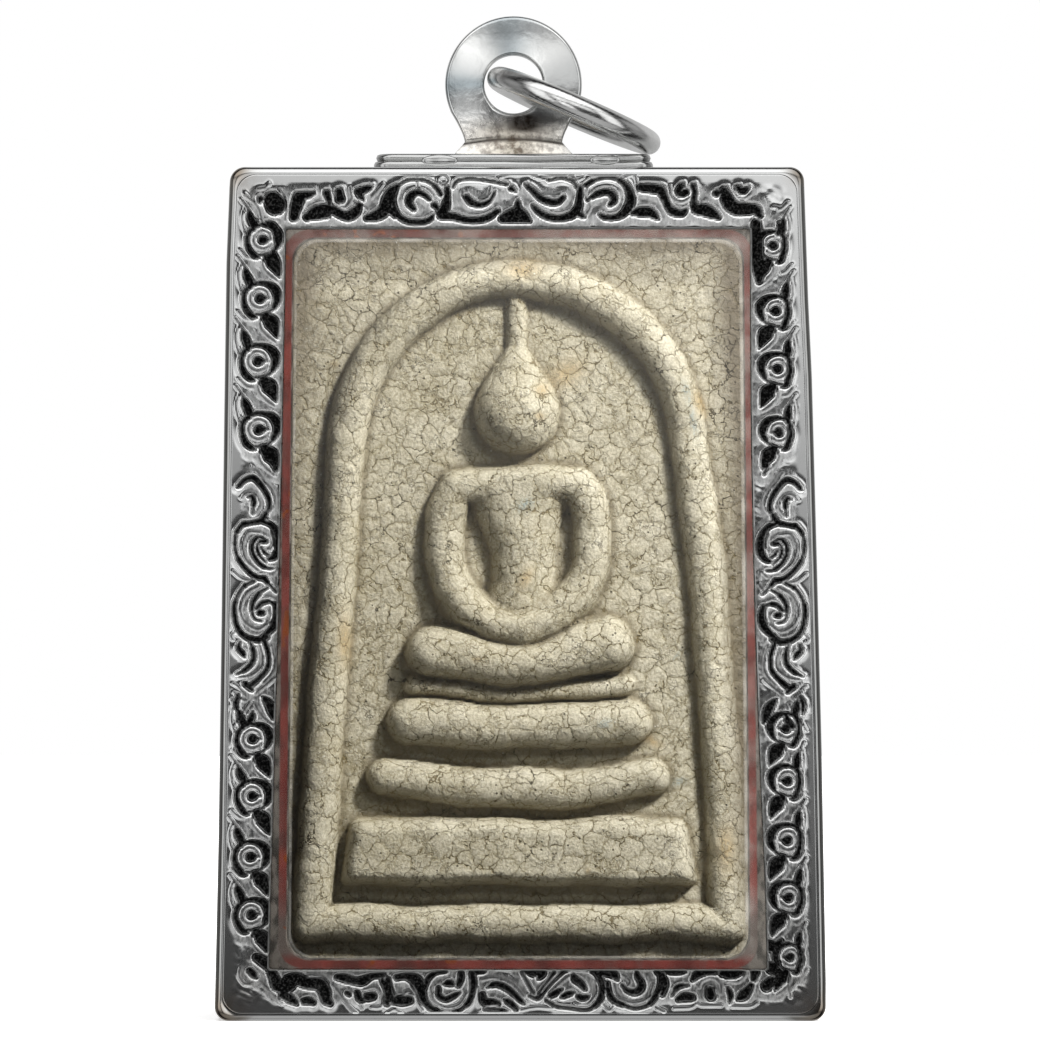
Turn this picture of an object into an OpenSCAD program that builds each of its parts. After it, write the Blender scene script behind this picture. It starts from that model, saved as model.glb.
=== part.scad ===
// Pendant case of polished steel with a moulded clay amulet between clear windows.
// It stands on its bottom edge as it is pictured: X to the right, Z up, the front faces -Y.
// Each module draws its piece seen from the front, x right, y up and z towards the viewer,
// with y = 0 at the case's bottom and z = 0 half way through its depth; upright() stands it up.

/* [Case] */
// Width of the case across its top
case_top_w = 30; // [27:0.5:34]
// Width of the case across its bottom
case_bottom_w = 32; // [29:0.5:36]
// Height of the case without its hanger
case_h = 45; // [42:0.5:50]
// Depth of the case from front lip to back lip
case_depth = 9; // [8.4:0.1:11]
// Thickness of the case's side walls
case_wall = 0.6; // [0.4:0.05:0.9]
// Radius of the case's outer corners, seen from the front
corner_r = 0.75; // [0.5:0.05:1.2]
// Width of the front opening across its top
opening_top_w = 24.4; // [23.6:0.05:24.8]
// Width of the front opening across its bottom
opening_bottom_w = 26.2; // [25.2:0.05:26.6]
// Width of the front lip at the top
lip_top = 3.3; // [2.8:0.05:3.8]
// Width of the front lip at the bottom
lip_bottom = 2.75; // [2.5:0.05:3.2]
// Thickness of the front lip
lip_t = 0.95; // [0.7:0.05:1.2]
// Corner radius of the opening in the front lip
opening_r = 0.15; // [0.05:0.05:0.4]
// Width of the back lip all round
back_lip = 2.4; // [1.8:0.05:3]
// Thickness of the back lip
back_lip_t = 0.8; // [0.5:0.05:1.1]

/* [Chased ornament] */
// Width of the polished rim outside the ornament
rim_w = 0.95; // [0.7:0.05:1.2]
// Width of the plain bead inside the ornament, along the opening
bead_w = 0.16; // [0.1:0.02:0.3]
// Depth of the chased ground below the rim
ground_depth = 0.35; // [0.2:0.05:0.5]
// How far the ornament stays below the rim
ornament_drop = 0.04; // [0.02:0.01:0.1]
// Radius of the round bosses
boss_r = 0.74; // [0.6:0.02:0.85]
// Radius of the punched hole in each boss
punch_r = 0.25; // [0.15:0.02:0.35]
// Spacing of the bosses along a side
boss_pitch = 3.22; // [2.8:0.05:3.6]
// Number of bosses above and below the middle of a side
boss_count = 4; // [2:1:5]
// Distance from the middle of a side to its first boss
boss_first = 7.9; // [6.5:0.1:8.5]
// Radius of the large scrolls
scroll_r = 1.05; // [0.8:0.05:1.2]
// Width of a scroll's band
scroll_band = 0.3; // [0.2:0.02:0.4]

/* [Hanger] */
// Length of the strap welded along the top
strap_l = 14.8; // [12:0.1:18]
// Depth of the strap from front to back
strap_w = 5; // [4:0.1:6.5]
// Thickness of the strap's two layers together
strap_t = 0.8; // [0.6:0.05:1.2]
// Width of the neck at its narrowest
neck_w = 5.1; // [4:0.1:6]
// Height of the neck's narrowest place above the strap
neck_rise = 0.75; // [0.5:0.05:1]
// How far the neck's foot flares out on each side
neck_flare = 0.7; // [0.3:0.05:1]
// Thickness of the neck
neck_t = 1; // [0.8:0.05:1.3]
// Radius of the hanger's disc
disc_r = 3.65; // [3.3:0.05:4.2]
// Thickness of the disc at its thickest
disc_t = 1.2; // [0.9:0.05:1.5]
// Thickness of the disc at its outer and inner edges
disc_edge_t = 0.6; // [0.4:0.05:0.8]
// Radius of the hole in the disc
hole_r = 1.58; // [1.45:0.02:1.75]
// Height of the disc's centre above the case
disc_rise = 4.6; // [4.4:0.05:5.2]
// How far the hanger sits left of the case's middle
hanger_shift = 0.24; // [0:0.02:0.5]

/* [Jump ring] */
// Outer diameter of the jump ring
ring_d = 9.95; // [9.2:0.05:10.4]
// Thickness of the jump ring's wire
wire_d = 1.25; // [1:0.05:1.35]
// Gap between the ring's wire and the hole it hangs in
ring_gap = 0.1; // [0.06:0.01:0.15]
// Gap left under the ring's far side where it rests on the strap
rest_gap = 0.08; // [0.04:0.01:0.15]

/* [Windows and seal] */
// Gap between neighbouring pieces inside the case
fit_gap = 0.05; // [0.03:0.01:0.1]
// How far the front window's raised block stays behind the lip's face
window_drop = 0.5; // [0.3:0.05:0.7]
// Thickness of the flange round the front window
flange_t = 0.6; // [0.4:0.05:0.8]
// Width of the red seal that shows along the top and bottom of the opening
seal_show = 0.45; // [0.25:0.05:0.6]
// Width of the front window's raised block across its top
block_top_w = 23.7; // [23:0.05:24]
// Width of the front window's raised block across its bottom
block_bottom_w = 24.4; // [23.8:0.05:24.8]
// Thickness of the red seal
seal_t = 0.6; // [0.3:0.05:0.8]
// Corner radius of the front window's block
window_corner_r = 1.25; // [0.8:0.05:1.6]
// Bevel along the edge of the front window's block
window_bevel = 0.18; // [0.08:0.02:0.25]
// Thickness of the back window's side walls
tray_wall = 0.8; // [0.5:0.05:1]
// Thickness of the back window's plate
tray_floor = 0.9; // [0.6:0.05:1.2]

/* [Clay amulet] */
// Depth of the clay's flat ground behind the case's front
ground_z = 3.6; // [3.5:0.05:4]
// Gap round the clay inside the back window
clay_gap = 0.1; // [0.05:0.01:0.2]
// Corner radius of the clay plaque
clay_corner_r = 0.9; // [0.5:0.05:1.5]
// Width of the arched ridge
ridge_w = 2; // [1.6:0.05:2.3]
// Height of the arched ridge above the ground
ridge_h = 0.9; // [0.6:0.05:1]
// Radius of the arch's middle line
arch_r = 9.1; // [8.6:0.05:9.6]
// Height of the arch's centre above the case's bottom
arch_y = 30.1; // [29:0.1:31]
// Outward lean of the arch's legs, in degrees
leg_lean = 4.3; // [3:0.1:5.5]
// Height of the bottom ridge's middle line above the case's bottom
foot_y = 4.95; // [4.8:0.05:5.3]

/* [Seated figure] */
// Sideways place of the figure's middle line
figure_x = 0; // [-0.3:0.02:0.3]
// Half width of the head at its widest
head_r = 2.34; // [2:0.02:2.6]
// Height of the head's widest place
head_y = 32.1; // [31.8:0.05:32.4]
// Drop from the widest place to the chin
chin_drop = 2.35; // [2.1:0.05:2.5]
// Rise from the widest place to the foot of the spike
crown_rise = 3.3; // [2.8:0.05:3.6]
// Half width of the spike over the head
spike_r = 0.58; // [0.4:0.02:0.7]
// Height of the spike above the ground
spike_h = 0.55; // [0.3:0.05:0.6]
// Height of the head above the ground
head_h = 1.6; // [1.2:0.05:1.75]
// Half width of the chest
chest_half = 2.75; // [2.4:0.05:3]
// Half width of the waist
waist_half = 1.85; // [1.5:0.05:2.2]
// Height of the chest above the ground
chest_h = 1.2; // [0.9:0.05:1.5]
// Height of the shoulders' middle line
shoulder_y = 28.3; // [28:0.05:28.6]
// Half the distance between the shoulders' middles
shoulder_half = 3.35; // [3:0.05:3.6]
// Thickness of the arms, seen from the front
arm_w = 2; // [1.7:0.05:2.2]
// Height of the arms above the ground
arm_h = 0.98; // [0.8:0.02:1]
// Radius of the middle line of the folded arms
arm_bend_r = 3.85; // [3.6:0.05:4]
// Height of the bend's centre
arm_bend_y = 24.5; // [24.2:0.05:24.8]

/* [Base] */
// Width of the crossed legs
legs_w = 12.4; // [11.6:0.1:13]
// Thickness of the crossed legs, seen from the front
legs_t = 3.1; // [2.7:0.05:3.3]
// Height of the crossed legs' middle line at its lowest
legs_y = 19.1; // [18.9:0.05:19.3]
// Rise of the legs' ends above their middle
legs_rise = 0.6; // [0.4:0.05:0.8]
// Width of the thin cushion line
line_w = 12.6; // [12:0.1:13.2]
// Thickness of the thin cushion line
line_t = 0.95; // [0.8:0.05:1]
// Height of the thin cushion line's middle at its lowest
line_y = 17; // [16.9:0.05:17.1]
// Width of the upper tier
upper_w = 14.2; // [13.6:0.1:15]
// Thickness of the upper tier, seen from the front
upper_t = 2.5; // [2.2:0.05:2.7]
// Height of the upper tier's middle line at its lowest
upper_y = 15.35; // [15.2:0.05:15.45]
// Width of the middle tier
middle_w = 16.4; // [15.6:0.1:17]
// Thickness of the middle tier, seen from the front
middle_t = 2; // [1.8:0.05:2.2]
// Height of the middle tier's middle line at its lowest
middle_y = 12.15; // [12:0.05:12.3]
// Rise of the ends of the line and the tiers above their middles
tier_rise = 0.45; // [0.3:0.05:0.6]
// Width of the flat lower tier at its bottom
lower_w = 18.9; // [18:0.1:19.4]
// Width of the flat lower tier at its top
lower_top_w = 17.7; // [17:0.1:18.4]
// Height of the lower tier's bottom edge
lower_y = 6.7; // [6.5:0.05:6.8]
// Size of the lower tier from bottom to top
lower_t = 3.8; // [3.6:0.05:4]
// Height of the lower tier above the ground
lower_h = 1.25; // [1:0.05:1.5]

/* [Hidden] */
steps = 5;                                     // segments in each outline corner
weld = 0.1;                                    // how far welded and moulded parts run into each other
edge_soft = 0.12;                              // rounding of the steel's small edges
side_lean = atan((case_bottom_w - case_top_w) / 2 / case_h);
front_z = case_depth / 2;
back_z = -case_depth / 2;
flange_z = front_z - lip_t - fit_gap;          // front of the window's flange
seal_z = flange_z - flange_t - fit_gap;        // front of the seal
tray_z = seal_z - seal_t - fit_gap;            // front of the back window's walls
tray_back_z = back_z + back_lip_t + fit_gap;   // back of the back window
clay_z = front_z - ground_z;                   // the clay's flat ground
clay_inset = case_wall + fit_gap + tray_wall + clay_gap;
wire_r = wire_d / 2;
ring_r = ring_d / 2 - wire_r;                  // radius of the ring's middle line
disc_y = case_h + disc_rise;
hang_angle = 158;                              // side of the hole where the wire lies
hang_x = -hanger_shift + (hole_r - wire_r - ring_gap) * cos(hang_angle);
hang_y = disc_y + (hole_r - wire_r - ring_gap) * sin(hang_angle);
ring_dip = asin((hang_y - case_h - strap_t - wire_r - rest_gap) / (2 * ring_r));
end_swell = 1.04;                              // rounded ends of moulded bars, a little fuller
fitted_r = case_wall / 2;                      // corner radius of the pieces inside the case
scroll_turn = 425;                             // how far a large scroll winds in, in degrees
curl_turn = 400;                               // how far a small curl winds in, in degrees
stem_lean = 40;                                // slant of the stems between the bosses, in degrees

function arc(c, r, a0, a1) =
    [for (i = [0:steps]) let (a = a0 + (a1 - a0) * i / steps) c + r * [cos(a), sin(a)]];

// Rounded trapezoid on y = 0, inset from its sides, bottom and top, counterclockwise
function trapezoid(bottom_w, top_w, h, side, bottom, top, r) =
    let (lean = atan((bottom_w - top_w) / 2 / h),
         yb = bottom + r, yt = h - top - r,
         xb = bottom_w / 2 - yb * tan(lean) - (side + r) / cos(lean),
         xt = bottom_w / 2 - yt * tan(lean) - (side + r) / cos(lean))
    concat(arc([xb, yb], r, -90, lean), arc([xt, yt], r, lean, 90),
           arc([-xt, yt], r, 90, 180 - lean), arc([-xb, yb], r, 180 - lean, 270));

// The case's outline inset by the same distance all round
function case_outline(inset, r) =
    trapezoid(case_bottom_w, case_top_w, case_h, inset, inset, inset, r);

// Outline of what fits inside the case's walls, inset further where asked
function fitted_outline(inset) = case_outline(case_wall + fit_gap + inset, fitted_r);

// Outline of a panel in the front lip, show inside the lip's top and bottom edges
function panel_outline(bottom_w, top_w, show, inset, r) =
    let (h = case_h - lip_top - lip_bottom - 2 * show)
    [for (p = trapezoid(bottom_w, top_w, h, inset, inset, inset, r)) p + [0, lip_bottom + show]];

// The opening's outline, grown outwards
function opening_outline(grow, r) = panel_outline(opening_bottom_w, opening_top_w, 0, -grow, r);

// Outline of the front window's raised block
function block_outline(inset) =
    panel_outline(block_bottom_w, block_top_w, seal_show, inset, window_corner_r);

// Skin over a stack of outlines, each a row of [outline, z]; closed joins the last to the first
module loft(rows, closed = false) {
    n = len(rows[0][0]);
    last = len(rows) - 1;
    points = [for (row = rows) for (p = row[0]) [p[0], p[1], row[1]]];
    skin = [for (k = [0:closed ? last : last - 1]) for (i = [0:n - 1])
        let (j = (i + 1) % n, up = (k + 1) % len(rows))
        each [[k * n + i, up * n + i, up * n + j], [k * n + i, up * n + j, k * n + j]]];
    caps = closed ? [] : [[for (i = [0:n - 1]) i], [for (i = [n - 1:-1:0]) last * n + i]];
    polyhedron(points, concat(skin, caps));
}

module plate(outline, z0, z1) {
    translate([0, 0, z0]) linear_extrude(z1 - z0) polygon(outline);
}

module upright() {
    rotate([90, 0, 0]) children();
}

// Band of a scroll that winds in from radius r through turn degrees
module scroll(r, turn, width) {
    shrink = 0.72;
    taper = 0.4;
    n = 22;
    edge = function (side) [for (i = [0:n])
        let (t = side > 0 ? i / n : 1 - i / n, a = turn * t,
             rad = r * (1 - shrink * t) + side * width / 2 * (1 - taper * t))
        rad * [cos(a), sin(a)]];
    polygon(concat(edge(1), edge(-1)));
}

module boss() {
    difference() {
        circle(boss_r, $fn = 12);
        circle(punch_r, $fn = 8);
    }
}

// Slanting stem with a leaf, from the rim to the bead
module stem(lean) {
    rotate(lean) square([boss_pitch * 1.1, scroll_band], center = true);
    rotate(-lean * 0.6) translate([scroll_band, 0])
        square([boss_pitch * 0.5, scroll_band * 0.8], center = true);
}

// Ornament of one upright side, centred on x = 0 with the rim towards -x
module side_ornament() {
    for (up = [-1, 1]) {
        for (i = [0:boss_count - 1]) {
            translate([0, up * (boss_first + i * boss_pitch)]) boss();
            translate([boss_r * 0.4, up * (boss_first + (i - 0.5) * boss_pitch)]) stem(-up * stem_lean);
        }
        translate([boss_r * 0.3, up * (scroll_r * 1.35)]) scale([1, up]) rotate(200)
            scroll(scroll_r, scroll_turn, scroll_band);
        translate([-boss_r * 0.3, up * (scroll_r * 3.9)]) scale([1, up]) rotate(60)
            scroll(scroll_r * 0.6, curl_turn, scroll_band * 0.8);
    }
    rotate(45) square([boss_r * 2, scroll_band], center = true);
}

// Ornament of the top or bottom, centred on the origin with the rim towards +y
module end_ornament() {
    for (side = [-1, 1]) scale([side, 1]) {
        translate([scroll_r * 1.7, 0]) rotate(150) scroll(scroll_r, scroll_turn, scroll_band);
        translate([scroll_r * 4.6, 0]) rotate(20) scroll(scroll_r * 0.85, scroll_turn, scroll_band);
        translate([scroll_r * 6.6, 0]) stem(stem_lean);
        translate([scroll_r * 8.6, 0]) boss();
        translate([scroll_r * 10.3, 0]) stem(-stem_lean);
        translate([scroll_r * 11.9, 0]) boss();
    }
    translate([0, boss_r * 0.3]) circle(boss_r * 0.7, $fn = 8);
}

// All the ornament, kept to the ground between rim and bead, as one flat figure
module ornament_figure() {
    solder = 0.02;
    side_place = rim_w + boss_r - solder;
    half_way = (case_h - lip_top + lip_bottom) / 2;
    side_middle = case_bottom_w / 2 - half_way * tan(side_lean) - side_place;
    offset(delta = solder) intersection() {
        difference() {
            polygon(case_outline(rim_w - solder, corner_r));
            polygon(opening_outline(bead_w - solder, opening_r));
        }
        union() {
            for (side = [-1, 1])
                translate([side * side_middle, half_way]) rotate(side * side_lean) scale([-side, 1])
                    side_ornament();
            translate([0, case_h - (rim_w + lip_top) / 2]) end_ornament();
            translate([0, (rim_w + lip_bottom) / 2]) scale([1, -1]) end_ornament();
        }
    }
}

// Channel bent round the trapezoid: rounded front rim, chased lip, thin walls and back lip
module case_channel() {
    round_r = case_wall;
    ground = front_z - ground_depth;
    side = function (inset, z) [case_outline(inset, max(corner_r - inset, opening_r)), z];
    lip = function (grow, z) [opening_outline(grow, opening_r), z];
    loft(concat(
        [for (a = [0:30:90]) side(round_r * (1 - sin(a)), back_z + round_r * (1 - cos(a)))],
        [for (a = [0:22.5:90]) side(round_r * (1 - cos(a)), front_z - round_r * (1 - sin(a)))],
        [side(rim_w - edge_soft, front_z), side(rim_w, front_z - edge_soft), side(rim_w, ground),
         lip(bead_w, ground), lip(bead_w, front_z - edge_soft), lip(0, front_z - 2 * edge_soft),
         lip(0, front_z - lip_t), side(case_wall, front_z - lip_t),
         side(case_wall, back_z + back_lip_t), side(back_lip, back_z + back_lip_t),
         side(back_lip, back_z)]), closed = true);
}

// Two-layer strap lying along the case's top
module strap() {
    layer_t = strap_t / 2;
    for (k = [0, 1])
        translate([-hanger_shift, case_h - weld + k * (layer_t + weld), 0]) rotate([-90, 0, 0])
            linear_extrude(layer_t + (k == 0 ? weld : 0))
                translate([0, -strap_w / 2])
                    polygon(trapezoid(strap_l, strap_l, strap_w,
                                  k * edge_soft, k * edge_soft, k * edge_soft, strap_w / 5));
}

// Disc with a rolled, rounded surface, and the neck that carries it
module hanger() {
    foot = case_h + strap_t;
    meet = 28;    // how far below the disc's middle the neck runs into it, in degrees
    outline = [for (side = [-1, 1]) let (half = side * neck_w / 2,
            path = [[half + side * neck_flare, foot - weld], [half + side * neck_flare, foot],
                    [half + side * neck_flare * 0.3, foot + neck_rise * 0.3], [half, foot + neck_rise],
                    disc_r * [side * cos(meet), -sin(meet)] + [0, disc_y]])
        each (side < 0 ? [for (i = [len(path) - 1:-1:0]) path[i]] : path)];
    roll = (disc_r - hole_r) * 0.22;    // how far in from each edge the disc's rounding runs
    half_section = [[hole_r, disc_edge_t / 2], [hole_r + roll, disc_t * 0.45],
        [(hole_r + disc_r) / 2, disc_t / 2], [disc_r - roll, disc_t * 0.45], [disc_r, disc_edge_t / 2]];
    translate([-hanger_shift, 0, 0]) difference() {
        union() {
            translate([0, 0, -neck_t / 2]) linear_extrude(neck_t) polygon(outline);
            translate([0, disc_y, 0]) rotate_extrude($fn = 96) polygon(concat(
                [for (p = half_section) [p[0], -p[1]]],
                [for (i = [len(half_section) - 1:-1:0]) half_section[i]]));
        }
        translate([0, disc_y, -disc_t]) cylinder(disc_t * 2, hole_r, hole_r, $fn = 96);
    }
}

module steel_case() {
    color("silver") upright() {
        case_channel();
        translate([0, 0, front_z - ground_depth - weld])
            linear_extrude(ground_depth + weld - ornament_drop) ornament_figure();
        strap();
        hanger();
    }
}

// Clear plate: a flange behind the lip and a raised, bevelled block in the opening
module front_window() {
    block = function (bevel, z) [block_outline(bevel), z];
    block_z = front_z - window_drop;
    soft = window_bevel * 0.3;
    color("lightcyan", 0.4) upright() {
        plate(fitted_outline(0), flange_z - flange_t, flange_z);
        loft([block(0, flange_z - flange_t / 2), block(0, block_z - window_bevel),
              block(soft, block_z - soft), block(window_bevel, block_z)]);
    }
}

// Red sealing ring between the two windows, just seen along the lip
module red_seal() {
    color("firebrick") upright() difference() {
        plate(fitted_outline(0), seal_z - seal_t, seal_z);
        plate(block_outline(0), seal_z - seal_t - weld, seal_z + weld);
    }
}

// Clear tray that holds the clay and closes the back
module back_window() {
    color("lightcyan", 0.4) upright() loft([
        [fitted_outline(0), tray_back_z],
        [fitted_outline(0), tray_z],
        [fitted_outline(tray_wall), tray_z],
        [fitted_outline(tray_wall), tray_back_z + tray_floor]]);
}

// Radius of a moulded bar that is w wide on the ground and h high
function bar_r(w, h) = (w * w / 4 + h * h) / (2 * h);

// Straight moulded bar between two points of the ground
module bar(from, to, w, h) {
    r = bar_r(w, h);
    along = to - from;
    translate([from[0], from[1], h - r]) rotate([0, 0, atan2(along[1], along[0])]) rotate([0, 90, 0])
        cylinder(norm(along), r, r, $fn = 48);
}

// Round end or knob of a moulded bar
module knob(at, w, h) {
    r = bar_r(w, h);
    translate([at[0], at[1], h - r]) sphere(r * end_swell, $fn = 48);
}

// Moulded bar whose ends rise, like a smile, with rounded ends
module bowed_bar(w, t, h, rise, y) {
    half = (w - t) / 2;
    bow_r = (half * half + rise * rise) / (2 * rise);
    sweep = asin(half / bow_r);
    r = bar_r(t, h);
    translate([0, y + bow_r, h - r]) rotate([0, 0, -90 - sweep])
        rotate_extrude(angle = 2 * sweep, $fn = 96) translate([bow_r, 0]) circle(r, $fn = 48);
    for (side = [-1, 1]) knob([side * half, y + rise], t, h);
}

// Half-round ridge: an arch on two leaning legs, closed by a bar across the bottom
module arch_ridge() {
    r = bar_r(ridge_w, ridge_h);
    spring = arch_r * [cos(leg_lean), sin(leg_lean)] + [0, arch_y];
    foot_x = spring[0] + (spring[1] - foot_y) * tan(leg_lean);
    translate([0, arch_y, ridge_h - r]) rotate([0, 0, leg_lean])
        rotate_extrude(angle = 180 - 2 * leg_lean, $fn = 96) translate([arch_r, 0]) circle(r, $fn = 48);
    for (side = [-1, 1]) {
        bar([side * spring[0], spring[1]], [side * foot_x, foot_y], ridge_w, ridge_h);
        knob([side * foot_x, foot_y], ridge_w, ridge_h);
    }
    bar([-foot_x, foot_y], [foot_x, foot_y], ridge_w, ridge_h);
}

// Plain egg-shaped head, turned about its upright axis, and the spike that runs up to the arch
module head() {
    n = 8;
    chin = [for (i = [0:n - 1]) let (a = 90 * i / n) [head_r * sin(a), -chin_drop * cos(a)]];
    crown = [for (i = [0:n]) let (t = i / n)
        [spike_r + (head_r - spike_r) * cos(90 * t), crown_rise * t]];
    translate([figure_x, head_y, head_h - head_r]) rotate([-90, 0, 0])
        rotate_extrude($fn = 64) polygon(concat(chin, crown, [[0, crown_rise]]));
    bar([figure_x, head_y + crown_rise * 0.3], [figure_x, arch_y + arch_r], 2 * spike_r, spike_h);
}

module torso() {
    r_chest = bar_r(2 * chest_half, chest_h);
    r_waist = bar_r(2 * waist_half, chest_h * 0.8);
    length = shoulder_y - arm_bend_y + arm_bend_r - arm_w / 2;
    drop = atan((r_chest - chest_h - r_waist + chest_h * 0.8) / length);
    intersection() {
        translate([figure_x, shoulder_y - length, chest_h * 0.8 - r_waist]) rotate([-90 - drop, 0, 0])
            cylinder(length, r_waist, r_chest, $fn = 64);
        translate([figure_x - 2 * chest_half, shoulder_y - length, -weld])
            cube([4 * chest_half, length + arm_w / 4, chest_h * 2]);
    }
}

module arms() {
    r = bar_r(arm_w, arm_h);
    shoulder = function (side) [figure_x + side * shoulder_half, shoulder_y];
    elbow = function (side) [figure_x + side * arm_bend_r, arm_bend_y];
    translate([figure_x, arm_bend_y, arm_h - r]) rotate([0, 0, 180])
        rotate_extrude(angle = 180, $fn = 96) translate([arm_bend_r, 0]) circle(r, $fn = 48);
    for (side = [-1, 1]) {
        bar(elbow(side), shoulder(side), arm_w, arm_h);
        knob(shoulder(side), arm_w, arm_h);
        knob(elbow(side), arm_w, arm_h);
    }
    bar(shoulder(-1), shoulder(1), arm_w * 0.96, arm_h * 1.04);
}

module lower_tier() {
    edge = lower_h * 0.36;    // how far the rounded edge runs in
    tier = function (share, z) let (inset = share * edge)
        [[for (p = trapezoid(lower_w, lower_top_w, lower_t, inset, inset, inset, lower_t * 0.09))
            p + [0, lower_y]], z];
    loft([tier(0, -weld), tier(0.1, lower_h * 0.6), tier(0.45, lower_h * 0.9), tier(1, lower_h)]);
}

module clay_amulet() {
    back = tray_back_z + tray_floor + fit_gap;
    color("tan") upright() {
        plate(case_outline(clay_inset, clay_corner_r), back, clay_z);
        translate([0, 0, clay_z]) {
            arch_ridge();
            head();
            torso();
            arms();
            bowed_bar(legs_w, legs_t, legs_t / 2, legs_rise, legs_y);
            bowed_bar(line_w, line_t, line_t / 2, tier_rise, line_y);
            bowed_bar(upper_w, upper_t, upper_t / 2, tier_rise, upper_y);
            bowed_bar(middle_w, middle_t, middle_t / 2, tier_rise, middle_y);
            lower_tier();
        }
    }
}

// Wire ring through the disc's hole, its far side down on the strap
module jump_ring() {
    color("gainsboro") translate([hang_x, 0, hang_y]) rotate([0, ring_dip, 0]) translate([ring_r, 0, 0])
        rotate_extrude($fn = 96) translate([ring_r, 0]) circle(wire_r, $fn = 48);
}

steel_case();
front_window();
red_seal();
back_window();
clay_amulet();
jump_ring();
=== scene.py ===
import math

import bpy
import numpy as np
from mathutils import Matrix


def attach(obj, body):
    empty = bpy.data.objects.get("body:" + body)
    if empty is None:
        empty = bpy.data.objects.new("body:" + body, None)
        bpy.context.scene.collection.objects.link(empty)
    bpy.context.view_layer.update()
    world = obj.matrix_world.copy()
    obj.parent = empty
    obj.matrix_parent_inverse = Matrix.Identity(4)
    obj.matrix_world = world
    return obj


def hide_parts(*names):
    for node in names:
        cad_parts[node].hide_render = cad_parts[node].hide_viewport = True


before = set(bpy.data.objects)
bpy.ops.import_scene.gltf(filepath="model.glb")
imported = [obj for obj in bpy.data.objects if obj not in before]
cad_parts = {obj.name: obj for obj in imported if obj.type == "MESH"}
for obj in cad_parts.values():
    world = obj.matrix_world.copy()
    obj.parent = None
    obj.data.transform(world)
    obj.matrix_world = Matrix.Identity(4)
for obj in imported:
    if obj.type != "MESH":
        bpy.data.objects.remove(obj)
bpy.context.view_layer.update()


# Camera, floor and studio light.
# The pendant stands on a white table and is seen square on from the front, far enough away that
# its sides hardly show. A lamp high on the right models the clay, a weaker one behind it and one
# overhead fill in, and the steel mirrors a studio room with a few soft patches of light.

MM = 0.001                      # every size below is written in millimetres and multiplied by this
FRONT_Y = -4.5                  # the case's front face
CAMERA_DISTANCE = 360.0         # from the front face
VIEW_CENTRE = (0.105, 26.4)     # x and z that the camera looks at
VIEW_WIDTH = 54.74              # what the frame takes in at the front face
SENSOR = 36.0


def add_node(tree, kind, inputs=(), **settings):
    """Adds a shader node, sets its properties, and links or fills the inputs given by name or place."""
    made = tree.nodes.new("ShaderNode" + kind)
    for name, value in settings.items():
        setattr(made, name, value)
    for name, value in dict(inputs).items():
        if isinstance(value, bpy.types.NodeSocket):
            tree.links.new(value, made.inputs[name])
        else:
            made.inputs[name].default_value = value
    return made


def maths(tree, operation, a, b=0.0):
    """One arithmetic step between two sockets or numbers."""
    return add_node(tree, "Math", {0: a, 1: b}, operation=operation).outputs[0]


def times(tree, a, *others):
    """The product of sockets or numbers."""
    for other in others:
        a = maths(tree, "MULTIPLY", a, other)
    return a


def between(tree, value, low, high, to=(0.0, 1.0)):
    """Smooth step: to[0] below low, to[1] above high."""
    made = add_node(tree, "MapRange", {"Value": value, "From Min": low, "From Max": high,
                                       "To Min": to[0], "To Max": to[1]},
                    interpolation_type="SMOOTHSTEP")
    return made.outputs["Result"]


def mix(tree, share, a, b):
    """Colour a turned into colour b by a share from 0 to 1. Fixed colours are red, green and blue."""
    a, b = ((*c, 1.0) if isinstance(c, tuple) and len(c) == 3 else c for c in (a, b))
    return add_node(tree, "Mix", {0: share, 6: a, 7: b}, data_type="RGBA").outputs[2]


def grey(value):
    return (value, value, value, 1.0)


camera = bpy.data.cameras.new("camera")
camera.sensor_width = SENSOR
camera.lens = SENSOR * CAMERA_DISTANCE / VIEW_WIDTH
camera.clip_start = 0.01
camera_object = bpy.data.objects.new("camera", camera)
camera_object.location = (VIEW_CENTRE[0] * MM, (FRONT_Y - CAMERA_DISTANCE) * MM, VIEW_CENTRE[1] * MM)
camera_object.rotation_euler = (math.radians(90), 0, 0)
bpy.context.scene.collection.objects.link(camera_object)
bpy.context.scene.camera = camera_object
bpy.context.scene.view_settings.view_transform = "Standard"

FLOOR_REACH = 400.0
FLOOR_FRONT = 60.0
corners = [(-FLOOR_REACH, -FLOOR_FRONT), (FLOOR_REACH, -FLOOR_FRONT),
           (FLOOR_REACH, FLOOR_REACH), (-FLOOR_REACH, FLOOR_REACH)]
floor_mesh = bpy.data.meshes.new("table_top")
floor_mesh.from_pydata([(x * MM, y * MM, 0.0) for x, y in corners], [], [(0, 1, 2, 3)])
floor = bpy.data.objects.new("table_top", floor_mesh)
bpy.context.scene.collection.objects.link(floor)
floor_paint = bpy.data.materials.new("white_table")
floor_paint.use_nodes = True
floor_tree = floor_paint.node_tree
floor_shader = floor_tree.nodes["Principled BSDF"]
floor_shader.inputs["Base Color"].default_value = grey(0.9)
floor_shader.inputs["Roughness"].default_value = 0.9
floor_shader.inputs["Specular IOR Level"].default_value = 0.0
floor_shader.inputs["Emission Color"].default_value = grey(1.0)
floor_place = add_node(floor_tree, "TexCoord").outputs["Object"]
behind = add_node(floor_tree, "SeparateXYZ", {0: floor_place}).outputs[1]
FLOOR_GLOW = (0.5, 1.0)         # of its own, under the case and from 22 mm behind it
floor_tree.links.new(between(floor_tree, behind, 3 * MM, 22 * MM, FLOOR_GLOW),
                     floor_shader.inputs["Emission Strength"])
floor_mesh.materials.append(floor_paint)
floor.visible_glossy = False
floor.visible_diffuse = False

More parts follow.
